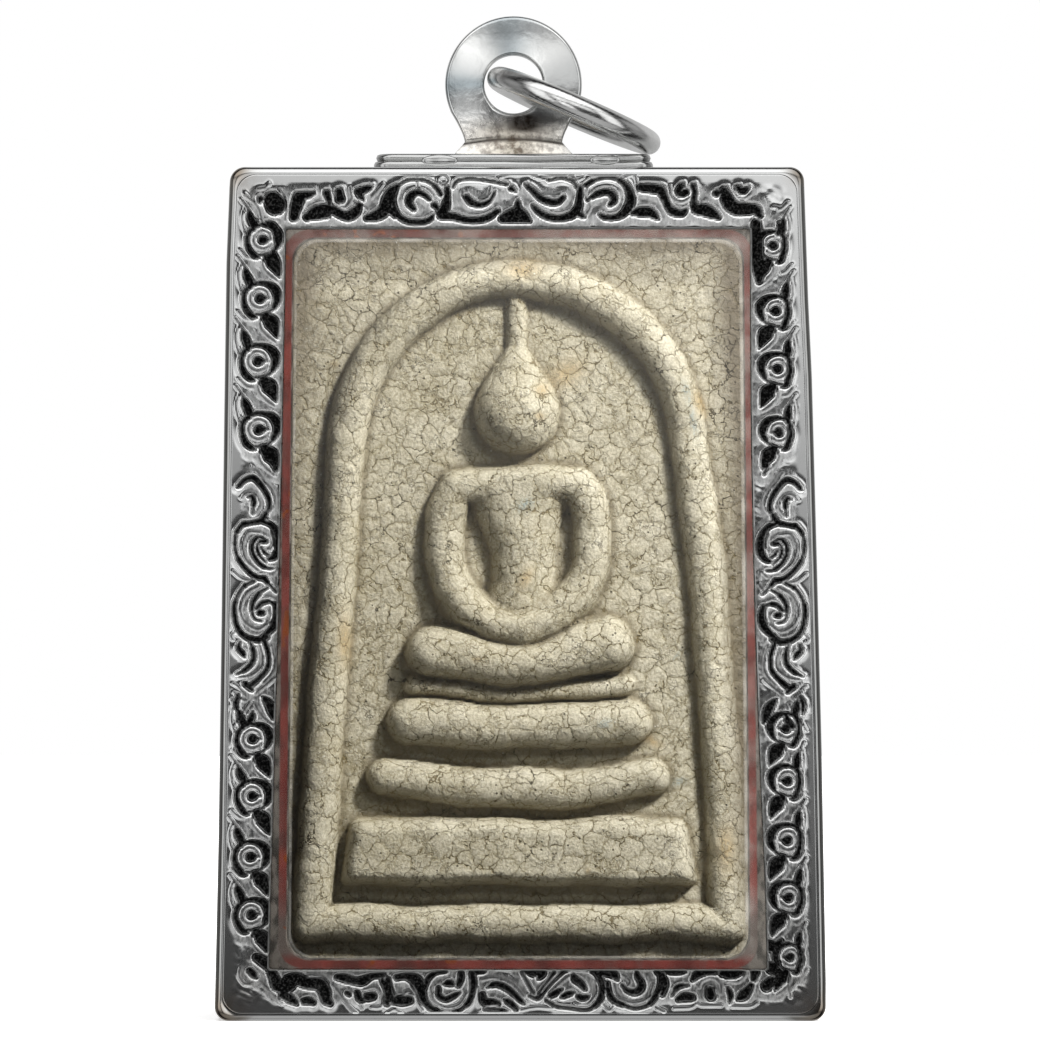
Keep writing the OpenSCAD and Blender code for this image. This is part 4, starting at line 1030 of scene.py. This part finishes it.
SIDE_LINES = [
    [(-13.75, 29.0), (-13.35, 28.4), (-12.95, 27.9), (-12.8, 27.3), (-13.1, 26.85)], [(-14.55, 27.55),
     (-14.35, 27.8), (-14.0, 27.85), (-13.65, 27.5), (-13.6, 27.1), (-13.95, 26.7)], [(-13.3, 26.55),
     (-12.75, 26.05), (-12.5, 25.4)], [(-13.6, 25.75), (-14.2, 25.75), (-14.5, 25.1), (-14.3, 24.3),
     (-13.7, 23.75)], [(-13.0, 25.8), (-12.85, 25.2), (-13.05, 24.85)], [(-15.0, 23.7), (-14.5, 23.3),
     (-14.0, 23.25)], [(-12.95, 23.5), (-12.6, 23.8), (-12.5, 23.2), (-12.75, 22.8)], [(-13.6, 22.95),
     (-14.3, 22.5), (-14.6, 21.7), (-14.35, 21.0), (-13.7, 20.65), (-13.1, 21.0)], [(-13.65, 20.0),
     (-13.45, 19.3), (-13.5, 18.7), (-14.0, 18.25), (-14.7, 18.1)], [(-13.0, 19.8), (-12.8, 19.0),
     (-12.9, 18.4), (-13.4, 17.8)], [(-13.85, 17.25), (-13.2, 17.75), (-12.8, 18.1)], [(-14.1, 16.85),
     (-14.6, 16.1), (-15.0, 15.45)], [(-13.85, 16.7), (-13.4, 16.0), (-12.9, 15.6)], [(-14.3, 17.1),
     (-14.7, 17.6), (-15.0, 17.8)], [(-14.9, 20.5), (-15.1, 20.3), (-15.0, 20.1)]]
TOP_PITS = [
    [(-12.92, 43.22, 0.42), (-12.78, 43.0, 0.5)], [(-13.6, 43.1, 0.04), (-13.55, 43.3, 0.12)],
    [(-13.25, 42.08, 0.05), (-12.95, 41.98, 0.09), (-12.68, 41.85, 0.04)], [(-12.72, 41.5, 0.14),
     (-12.65, 41.15, 0.14)], [(-13.7, 42.2, 0.03), (-13.82, 42.0, 0.08)], [(-12.9, 40.6, 0.05),
     (-12.85, 40.2, 0.2), (-12.75, 39.8, 0.2), (-12.68, 39.4, 0.06)], [(-11.55, 43.35, 0.28),
     (-11.72, 42.8, 0.24), (-11.82, 42.35, 0.18)], [(-11.65, 43.5, 0.12), (-11.15, 43.52, 0.16),
     (-10.8, 43.62, 0.06)], [(-11.1, 42.35, 0.16), (-10.6, 42.58, 0.32), (-10.1, 42.68, 0.33),
     (-9.75, 42.72, 0.2), (-9.3, 42.48, 0.18), (-8.9, 42.42, 0.22), (-8.52, 42.68, 0.2), (-8.35, 43.0, 0.08)],
    [(-9.42, 43.7, 0.13), (-9.36, 43.3, 0.19)], [(-10.08, 43.62, 0.12), (-9.98, 43.35, 0.1),
     (-9.92, 43.05, 0.05)], [(-8.4, 43.68, 0.16), (-8.0, 43.85, 0.13), (-7.7, 43.95, 0.04)],
    [(-8.32, 43.5, 0.12), (-8.15, 43.25, 0.04)], [(-7.95, 42.3, 0.12), (-7.4, 42.45, 0.24),
     (-7.02, 42.75, 0.26), (-6.88, 43.25, 0.24), (-6.68, 43.7, 0.16), (-6.35, 44.0, 0.06)],
    [(-6.75, 42.75, 0.16), (-6.45, 42.45, 0.12)], [(-6.4, 43.9, 0.05), (-6.56, 43.2, 0.06), (-6.35, 42.5, 0.1),
     (-5.85, 42.15, 0.1), (-5.2, 42.07, 0.09), (-4.7, 42.2, 0.08), (-4.45, 42.45, 0.04)], [(-6.3, 44.05, 0.04),
     (-5.8, 44.32, 0.04), (-5.0, 44.32, 0.04), (-4.4, 44.02, 0.05), (-4.03, 43.5, 0.05)],
    [(-4.62, 43.25, 0.05), (-4.9, 43.5, 0.07), (-5.3, 43.66, 0.1), (-5.66, 43.45, 0.14), (-5.74, 43.1, 0.14),
     (-5.5, 42.78, 0.08)], [(-4.4, 42.98, 0.1), (-4.18, 42.75, 0.05)], [(-3.72, 43.85, 0.08),
     (-3.75, 43.3, 0.13), (-3.85, 42.8, 0.2), (-4.05, 42.48, 0.2), (-3.35, 42.37, 0.15), (-2.8, 42.22, 0.12),
     (-2.2, 42.18, 0.12), (-1.6, 42.32, 0.12), (-1.08, 42.65, 0.09)], [(-3.45, 43.9, 0.03),
     (-3.2, 44.27, 0.04), (-2.5, 44.38, 0.03), (-1.5, 44.27, 0.04), (-0.55, 44.07, 0.05)],
    [(-2.72, 43.4, 0.09), (-2.45, 43.12, 0.12), (-1.95, 43.0, 0.08), (-1.5, 43.22, 0.05),
     (-1.25, 43.65, 0.04)], [(-0.8, 42.28, 0.18), (-0.4, 42.38, 0.3), (0.0, 42.45, 0.36), (0.35, 42.3, 0.25),
     (0.6, 42.15, 0.06)], [(0.0, 42.8, 0.14), (0.0, 43.25, 0.03)], [(-0.35, 43.85, 0.08), (-0.12, 43.7, 0.03)],
    [(0.4, 44.05, 0.04), (0.8, 43.72, 0.08), (1.2, 43.35, 0.12), (1.7, 43.15, 0.14), (2.1, 43.16, 0.12),
     (2.38, 43.4, 0.07)], [(0.75, 42.98, 0.04), (1.1, 42.62, 0.09), (1.6, 42.36, 0.12), (2.2, 42.3, 0.12),
     (2.8, 42.45, 0.16), (3.15, 42.8, 0.16), (3.25, 43.3, 0.12), (3.3, 43.85, 0.09)], [(1.6, 44.3, 0.03),
     (2.3, 44.42, 0.03), (2.9, 44.22, 0.04), (3.1, 43.9, 0.05)], [(3.25, 42.5, 0.12), (3.5, 42.35, 0.04)],
    [(3.5, 44.0, 0.05), (4.0, 44.3, 0.05), (4.7, 44.45, 0.04), (5.3, 44.32, 0.05), (5.7, 44.0, 0.09),
     (5.92, 43.5, 0.17), (5.88, 43.0, 0.2), (5.55, 42.55, 0.15), (5.1, 42.33, 0.1), (4.6, 42.33, 0.08),
     (4.28, 42.5, 0.04)], [(3.62, 43.25, 0.04), (3.95, 43.45, 0.06), (4.3, 43.62, 0.12), (4.7, 43.68, 0.12),
     (5.0, 43.5, 0.13), (5.05, 43.22, 0.12), (4.85, 43.0, 0.06)], [(6.5, 43.9, 0.16), (7.0, 43.86, 0.2),
     (7.5, 43.75, 0.2), (7.75, 43.3, 0.14), (7.92, 42.9, 0.12), (8.15, 42.65, 0.16), (8.6, 42.55, 0.15),
     (8.85, 42.72, 0.06)], [(5.95, 42.55, 0.05), (6.4, 42.62, 0.2), (6.9, 42.6, 0.22), (7.2, 42.42, 0.12),
     (7.38, 42.25, 0.04)], [(8.62, 44.0, 0.1), (8.45, 43.75, 0.12), (8.6, 43.6, 0.17), (8.88, 43.68, 0.12)],
    [(9.22, 44.0, 0.07), (9.3, 43.6, 0.08), (9.25, 43.2, 0.08), (9.4, 42.82, 0.24), (9.85, 42.72, 0.28),
     (10.3, 42.5, 0.2), (10.55, 42.33, 0.08)], [(10.45, 43.6, 0.12), (10.55, 43.66, 0.1)],
    [(10.85, 43.75, 0.16), (10.98, 43.4, 0.28), (11.2, 43.0, 0.3), (11.55, 42.78, 0.3), (12.0, 42.78, 0.28),
     (12.5, 42.75, 0.22), (12.72, 42.45, 0.12)], [(11.58, 43.9, 0.08), (11.82, 43.72, 0.15),
     (12.05, 43.85, 0.08)], [(12.55, 42.0, 0.2), (12.58, 41.2, 0.27), (12.6, 40.3, 0.28), (12.72, 39.6, 0.3),
     (12.7, 39.0, 0.12)], [(13.72, 42.1, 0.03), (13.8, 41.7, 0.1), (13.7, 41.5, 0.08)]]
TOP_LINES = [
    [(-5.3, 44.2), (-5.25, 43.85)], [(-9.72, 43.65), (-9.55, 43.1), (-9.1, 42.88), (-8.78, 43.3),
     (-8.85, 43.9)], [(-3.95, 44.6), (-4.25, 44.3), (-3.95, 44.02), (-3.65, 44.3), (-3.95, 44.6)],
    [(-1.0, 44.45), (-0.5, 44.6), (0.2, 44.62), (0.6, 44.68)], [(0.6, 44.68), (1.0, 44.45), (1.6, 44.32)],
    [(2.8, 44.6), (3.0, 44.3), (3.45, 44.45)], [(3.6, 43.9), (3.55, 43.4), (3.8, 42.9), (3.6, 42.5)],
    [(5.6, 44.45), (6.1, 44.6), (6.25, 44.1), (6.3, 43.6)], [(8.0, 44.0), (8.1, 43.4), (8.6, 43.15),
     (9.0, 43.35)], [(11.35, 44.0), (11.5, 43.5), (11.9, 43.35), (12.3, 43.6)], [(-12.55, 43.75),
     (-12.25, 43.3), (-12.2, 42.8), (-12.25, 42.2)], [(-13.95, 43.2), (-13.65, 42.8), (-13.45, 42.0)],
    [(-13.7, 43.85), (-13.35, 43.9), (-13.1, 44.1)], [(13.4, 42.9), (13.9, 42.85), (14.2, 43.1)],
    [(-2.95, 43.7), (-2.9, 43.45)], [(-2.0, 43.25), (-1.6, 43.45), (-1.45, 43.9)], [(1.3, 43.6), (1.9, 43.5),
     (2.2, 43.6)], [(-8.6, 43.1), (-8.15, 42.95), (-7.9, 42.75)], [(-7.1, 44.1), (-7.7, 43.4)]]
FOOT_PITS = [
    [(-14.12, 2.66, 0.09), (-13.92, 2.45, 0.1), (-13.78, 2.3, 0.04)], [(-13.75, 3.35, 0.16),
     (-13.4, 3.12, 0.2), (-13.1, 2.8, 0.16), (-12.85, 2.3, 0.2), (-12.65, 1.9, 0.3), (-12.2, 1.95, 0.4),
     (-11.7, 2.2, 0.3), (-11.1, 2.0, 0.24), (-10.5, 1.95, 0.28), (-10.2, 1.6, 0.27), (-10.1, 1.15, 0.2),
     (-9.9, 0.95, 0.1)], [(-12.35, 1.4, 0.2), (-11.95, 1.15, 0.16), (-11.65, 0.95, 0.06)], [(-11.3, 1.05, 0.1),
     (-11.02, 1.08, 0.14), (-10.8, 1.0, 0.09)], [(-9.5, 2.32, 0.1), (-9.1, 2.25, 0.17), (-8.6, 2.12, 0.15),
     (-8.2, 2.12, 0.2), (-7.7, 2.36, 0.1), (-7.1, 2.4, 0.08)], [(-9.0, 1.48, 0.06), (-8.9, 1.42, 0.06)],
    [(-8.48, 1.52, 0.06), (-8.35, 1.2, 0.1), (-8.12, 1.08, 0.05)], [(-7.92, 1.28, 0.17), (-7.65, 1.32, 0.15)],
    [(-7.15, 2.15, 0.07), (-6.88, 1.5, 0.11), (-6.9, 0.95, 0.1)], [(-6.85, 2.15, 0.12), (-6.78, 1.5, 0.14),
     (-6.6, 1.12, 0.14), (-6.1, 1.08, 0.2), (-5.72, 1.12, 0.16)], [(-6.4, 2.3, 0.1), (-5.9, 2.35, 0.12),
     (-5.4, 2.15, 0.26), (-5.15, 1.75, 0.22), (-5.0, 1.2, 0.15), (-4.72, 0.8, 0.08), (-4.2, 0.53, 0.05),
     (-3.7, 0.45, 0.04), (-3.1, 0.6, 0.04), (-2.62, 1.0, 0.06), (-2.42, 1.5, 0.08), (-2.35, 2.0, 0.12),
     (-2.42, 2.5, 0.1)], [(-4.9, 1.75, 0.06), (-4.75, 2.2, 0.07), (-4.4, 2.5, 0.05), (-3.8, 2.62, 0.04)],
    [(-3.0, 2.5, 0.09), (-3.02, 2.2, 0.1), (-3.15, 1.88, 0.07)], [(-3.9, 1.95, 0.04), (-3.6, 2.0, 0.12),
     (-3.38, 1.92, 0.05)], [(-4.18, 1.75, 0.06), (-4.18, 1.35, 0.09), (-3.85, 1.15, 0.08), (-3.45, 1.3, 0.07),
     (-3.1, 1.5, 0.04)], [(-2.2, 2.62, 0.08), (-1.75, 2.66, 0.05)], [(-1.6, 1.8, 0.03), (-1.2, 1.94, 0.09),
     (-0.8, 1.85, 0.11), (-0.4, 1.6, 0.1), (0.0, 1.2, 0.08), (0.3, 0.95, 0.04)], [(-1.88, 1.4, 0.09),
     (-1.78, 1.02, 0.13), (-1.35, 1.0, 0.12), (-1.05, 0.95, 0.06)], [(-0.7, 1.12, 0.04), (-0.4, 0.95, 0.09),
     (-0.1, 0.68, 0.06)], [(-1.75, 0.64, 0.03), (-0.9, 0.58, 0.05), (-0.3, 0.35, 0.04)], [(0.35, 2.62, 0.05),
     (0.8, 2.55, 0.16), (1.25, 2.55, 0.18), (1.08, 2.25, 0.05)], [(0.2, 2.6, 0.03), (0.82, 1.45, 0.04)],
    [(1.9, 2.55, 0.05), (1.45, 1.95, 0.03), (1.08, 1.42, 0.04)], [(0.6, 1.35, 0.03), (0.95, 1.22, 0.05),
     (1.25, 1.4, 0.05), (1.85, 2.1, 0.03), (2.4, 2.62, 0.05)], [(2.4, 2.62, 0.05), (3.0, 2.75, 0.03),
     (3.7, 2.72, 0.04), (4.15, 2.5, 0.09), (4.42, 2.0, 0.12), (4.42, 1.4, 0.11), (4.12, 0.9, 0.06),
     (3.6, 0.62, 0.04), (2.8, 0.7, 0.03), (2.0, 0.8, 0.04), (1.5, 1.1, 0.04)], [(1.68, 1.32, 0.06),
     (2.0, 1.5, 0.1), (2.3, 1.68, 0.04)], [(2.9, 2.45, 0.04), (3.0, 2.22, 0.12), (3.3, 2.0, 0.12),
     (3.52, 1.72, 0.06)], [(2.3, 1.28, 0.05), (2.6, 1.42, 0.08), (2.9, 1.5, 0.05)], [(3.1, 1.35, 0.04),
     (3.4, 1.2, 0.1), (3.7, 1.3, 0.05)], [(4.4, 2.55, 0.12), (4.72, 2.52, 0.15), (5.1, 2.42, 0.14),
     (5.22, 2.2, 0.05)], [(4.72, 2.0, 0.06), (4.78, 1.5, 0.1), (5.05, 1.1, 0.08), (5.6, 0.85, 0.05),
     (6.2, 0.7, 0.04), (6.85, 0.88, 0.05), (7.22, 1.3, 0.08), (7.5, 1.9, 0.1), (7.5, 2.4, 0.1),
     (7.2, 2.7, 0.04)], [(6.25, 2.65, 0.03), (6.3, 2.35, 0.08), (6.5, 2.0, 0.12), (6.45, 1.7, 0.13),
     (6.15, 1.52, 0.11), (5.75, 1.62, 0.06), (5.5, 1.9, 0.04)], [(7.62, 2.45, 0.08), (7.75, 1.95, 0.12),
     (7.6, 1.4, 0.06)], [(7.75, 2.62, 0.05), (8.3, 2.6, 0.1), (8.8, 2.62, 0.04)], [(8.45, 1.15, 0.08),
     (8.8, 1.28, 0.18), (9.15, 1.25, 0.14)], [(8.1, 1.35, 0.03), (8.4, 1.8, 0.06), (8.95, 1.9, 0.04)],
    [(9.2, 2.2, 0.06), (9.45, 2.45, 0.16), (10.0, 2.62, 0.13), (10.5, 2.56, 0.04)], [(10.12, 1.62, 0.14),
     (10.16, 1.32, 0.19)], [(10.75, 2.5, 0.1), (11.2, 2.5, 0.24), (11.65, 2.62, 0.2), (11.9, 2.72, 0.05)],
    [(11.55, 1.15, 0.04), (11.85, 1.35, 0.2), (12.1, 1.62, 0.15), (12.32, 1.95, 0.05)], [(12.5, 2.62, 0.16),
     (12.42, 2.2, 0.08)], [(13.1, 1.85, 0.24), (13.4, 2.08, 0.22), (13.68, 2.25, 0.06)], [(13.3, 2.75, 0.18),
     (13.65, 2.6, 0.22), (13.95, 2.35, 0.08)], [(13.15, 3.95, 0.26), (13.6, 3.95, 0.2), (13.85, 4.25, 0.06)],
    [(13.05, 3.02, 0.04), (13.6, 2.95, 0.1)], [(11.05, 1.75, 0.04), (11.2, 1.35, 0.07), (11.15, 1.0, 0.03)]]
FOOT_LINES = [
    [(-14.6, 2.85), (-14.68, 2.4), (-14.4, 2.0), (-14.05, 1.95)], [(-13.7, 2.3), (-13.1, 1.65), (-12.4, 0.95)],
    [(-11.35, 2.3), (-10.9, 2.45), (-10.3, 2.35), (-9.95, 2.0)], [(-9.75, 1.95), (-9.4, 1.5), (-8.9, 0.8),
     (-8.5, 0.4)], [(-8.9, 1.75), (-8.4, 1.2), (-8.2, 0.7)], [(-7.7, 0.75), (-7.2, 0.8), (-7.15, 1.4),
     (-7.5, 1.8), (-8.1, 1.7)], [(-7.0, 2.5), (-6.6, 1.7), (-6.35, 1.35), (-6.0, 1.45), (-5.8, 1.6),
     (-5.5, 1.4)], [(-5.6, 1.9), (-5.3, 1.2), (-5.0, 0.6)], [(-4.6, 1.8), (-4.4, 1.1), (-3.8, 0.75),
     (-3.1, 0.9), (-2.7, 1.5)], [(-2.1, 1.8), (-2.0, 1.1), (-1.6, 0.75), (-1.0, 0.78)], [(-1.9, 2.2),
     (-1.2, 2.3), (-0.4, 2.0), (0.3, 1.3)], [(0.15, 0.6), (0.9, 0.75), (1.8, 0.72)], [(2.7, 2.4), (2.2, 2.0),
     (1.6, 1.5)], [(4.1, 2.2), (4.1, 1.5), (3.7, 0.95), (3.0, 0.95)], [(4.5, 0.9), (4.8, 0.6), (5.0, 0.8)],
    [(5.1, 1.9), (5.3, 1.3), (6.0, 1.0), (6.8, 1.2), (7.1, 1.9)], [(5.6, 2.4), (5.9, 2.1), (5.8, 1.9)],
    [(8.2, 0.7), (9.1, 0.75), (9.4, 0.95), (9.7, 0.85), (10.7, 0.85)], [(9.5, 1.8), (9.7, 2.15), (10.2, 2.3),
     (10.65, 2.0), (10.7, 1.5)], [(9.85, 1.3), (9.9, 1.8), (10.2, 1.95), (10.45, 1.6), (10.5, 1.3)],
    [(11.3, 0.8), (12.2, 0.8), (12.6, 1.0)], [(11.0, 2.1), (11.6, 2.1), (12.0, 2.5)], [(14.2, 2.4),
     (14.25, 1.8), (14.35, 1.3)], [(14.35, 1.7), (14.9, 2.4), (15.2, 2.75)], [(7.3, 0.7), (7.7, 0.5)],
    [(-6.9, 0.45), (-6.5, 0.65), (-6.1, 0.4)]]

UP_N, ACROSS_N, CORNER_N, LIP_ROWS = 740, 450, 14, 37
LINE_HALF = 0.012               # half width of a scored line
FAR = 0.7                       # metal further than this from a cut isn't told apart
outer_line = hand_bent(case_line(ROLL - 0.02, CORNER_R + 0.2, side_n=UP_N, end_n=ACROSS_N, corner_n=CORNER_N))
open_line = frame_line(OPEN_BOTTOM_W, OPEN_TOP_W, OPEN_BOTTOM, OPEN_TOP, 0.0, 0.15, UP_N, ACROSS_N, CORNER_N)
# the opening's sides bow inwards, the right one more
bow = np.clip(1 - ((open_line[:, 1] - 24.0) / 17.0) ** 2, 0, None) * (np.abs(open_line[:, 0]) > 11.5)
open_line[:, 0] -= bow * np.where(open_line[:, 0] > 0, 0.22, -0.06)
share = np.linspace(0, 1, LIP_ROWS)[None, :, None]
lip = outer_line[:, None, :] * (1 - share) + open_line[:, None, :] * share
lip_x, lip_z = lip[..., 0].copy(), lip[..., 1].copy()


def carve(away, line, grow=0.035):
    """Lowers the distances from the lip's points to the nearest cut by those to one more line of
    x, z and half width. They are positive in standing metal and negative in a cut."""
    near = (lip_x > line[:, 0].min() - FAR) & (lip_x < line[:, 0].max() + FAR) \
        & (lip_z > line[:, 1].min() - FAR) & (lip_z < line[:, 1].max() + FAR)
    if near.any():
        d, half = off_line(lip_x[near], lip_z[near], line)
        away[near] = np.minimum(away[near], d - half - grow * (half > 0.05))


def mirrored(rows):
    """The same chart on the right side, moved out to where that side's middle lies."""
    return [(0.17 - row[0], row[1] - 0.12, *row[2:]) for row in rows]


def with_width(line):
    return np.column_stack([line, np.full(len(line), LINE_HALF)])


metal, scored = np.full(lip_x.shape, FAR), np.full(lip_x.shape, FAR)
chance = np.random.default_rng(5)
for bx, bz, size in BOSSES:
    way = 1.0 if bx < 0 else -1.0
    outer = 1.0 if bx < 0 else 0.8          # the right side's leaves reach less far out
    for rows, is_pit in [(rows, True) for rows in BOSS_PITS] + [(rows, False) for rows in BOSS_LINES]:
        row = np.array(rows)
        row[:, 0] *= np.where(row[:, 0] < -0.55, outer, 1.0)
        if is_pit:
            row[:, :2] += chance.normal(0, 0.012, row[:, :2].shape)     # no two are quite alike
        placed = np.column_stack([bx + way * size * row[:, 0], bz + size * row[:, 1], row[:, 2:] * size])
        if is_pit:
            carve(metal, curve(placed, 5))
        else:
            carve(scored, curve(with_width(placed), 5))
for rows in SIDE_PITS + [mirrored(r) for r in SIDE_PITS] + TOP_PITS + FOOT_PITS:
    carve(metal, curve(rows, 5))
for rows in SIDE_LINES + [mirrored(r) for r in SIDE_LINES] + TOP_LINES + FOOT_LINES:
    carve(scored, with_width(curve(rows, 5)))

rim_dist = np.hypot(lip_x - outer_line[:, None, 0], lip_z - outer_line[:, None, 1])
open_dist = np.hypot(lip_x - open_line[:, None, 0], lip_z - open_line[:, None, 1])
metal = np.where(np.minimum(rim_dist, open_dist) < 0.1, np.maximum(metal, 0.3), metal)
inside = np.clip(metal, 0, None)
rise = 1 - np.clip(1 - inside / EDGE_ROUND, 0, 1) ** 2.2
score = SCORE_DEPTH * np.exp(-(np.clip(scored, 0, None) / 0.06) ** 2)
score -= LINE_HALF * np.exp(-((scored - 0.12) / 0.05) ** 2)
tooled = np.clip((metal - 0.12) / 0.07, 0, 1) * np.clip((0.6 - metal) / 0.2, 0, 1)
tooled = tooled * np.clip((rim_dist - 0.55) / 0.35, 0, 1)
depth = 0.012 + PIT_DEPTH * (1 - rise) + PILLOW * np.clip(1 - inside / PILLOW_REACH, 0, 1) ** 2
depth += (np.clip(score, -LINE_HALF, None) + BELLY * tooled) * rise
depth += 0.02 * lumps(lip_x, lip_z, 0.35, 21) * (1 - rise)
depth += 0.009 * lumps(lip_x, lip_z, 0.6, 22) * rise * np.clip((rim_dist - 0.55) / 0.5, 0, 1)
depth = np.clip(depth, 0.004, None) + 0.10 * np.clip(1 - open_dist / 0.14, 0, 1) ** 2
face = np.stack([lip_x, FRONT_Y + depth, lip_z], -1)
under = [at_depth(open_line, FRONT_Y + 0.28), at_depth(open_line, FRONT_Y + LIP_T),
         at_depth(case_line(0.9, 1.3, side_n=UP_N, end_n=ACROSS_N), FRONT_Y + LIP_T)]
chased_lip = surface("chased_lip", np.concatenate([face] + [row[:, None] for row in under], 1))
for label, values in (("pit", np.clip((0.05 - metal) / 0.07, 0, 1)), ("tooled", tooled),
                      ("border", np.clip(1 - open_dist / 0.42, 0, 1)),
                      ("burnish_and_highlight", np.exp(-((metal - 0.09) / 0.06) ** 2)), ("tarnish", tarnish(lip)),
                      ("scored", np.clip(1 - scored / 0.08, 0, 1))):
    point_values(chased_lip, label, np.concatenate([values, np.zeros((len(values), len(under)))], 1))


def chased_steel():
    """Steel darkened in the pits, brushed grey where the chasing tool has hatched it."""
    made, tree, shader, place = new_material("chased_steel")
    pit, tool = reading(tree, "pit"), reading(tree, "tooled")
    grit = grain(tree, place, 0.10, 4.0, roughness=0.65)
    hatch = grain(tree, place, 0.11, 2.0, (1.0, 1.0, 0.35))
    blot = grain(tree, place, 0.5, 3.0)
    z_at = add_node(tree, "SeparateXYZ", {0: place}).outputs[2]
    low = between(tree, z_at, 14 * MM, 34 * MM, (1.0, 0.0))
    dull = mix(tree, between(tree, hatch, 0.35, 0.65), (0.10, 0.10, 0.10), (0.42, 0.42, 0.41))
    brown = times(tree, reading(tree, "tarnish"), between(tree, blot, 0.3, 0.6, (0.3, 0.9)))
    black = mix(tree, between(tree, grit, 0.45, 0.75), (0.003, 0.003, 0.003), (0.08, 0.08, 0.078))
    tone = mix(tree, blot, STEEL_LOW, STEEL)
    # painted shade: the steel is darker towards the bottom of the lip
    for share, colour in ((times(tree, tool, between(tree, low, 0.0, 1.0, (0.45, 0.8))), dull),
                          (reading(tree, "burnish_and_highlight"), (0.97, 0.97, 0.96)),
                          (between(tree, z_at, 2 * MM, 13 * MM, (0.42, 0.0)), (0.20, 0.20, 0.195)),
                          (times(tree, reading(tree, "border"), 0.75), (0.14, 0.14, 0.13)),
                          (times(tree, reading(tree, "scored"), 0.8), (0.06, 0.06, 0.06)),
                          (brown, (0.36, 0.29, 0.22)), (pit, black)):
        tone = mix(tree, share, tone, colour)
    rough = maths(tree, "ADD", maths(tree, "ADD", 0.13, times(tree, tool, 0.16)), times(tree, pit, 0.3))
    ridge = bump(tree, times(tree, hatch, tool), 0.02)
    paint(tree, shader, tone, rough, bump(tree, times(tree, grit, pit), 0.05, ridge), 1.0)
    return made


chased_lip.data.materials.append(chased_steel())
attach(chased_lip, "case")
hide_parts("steel_case")
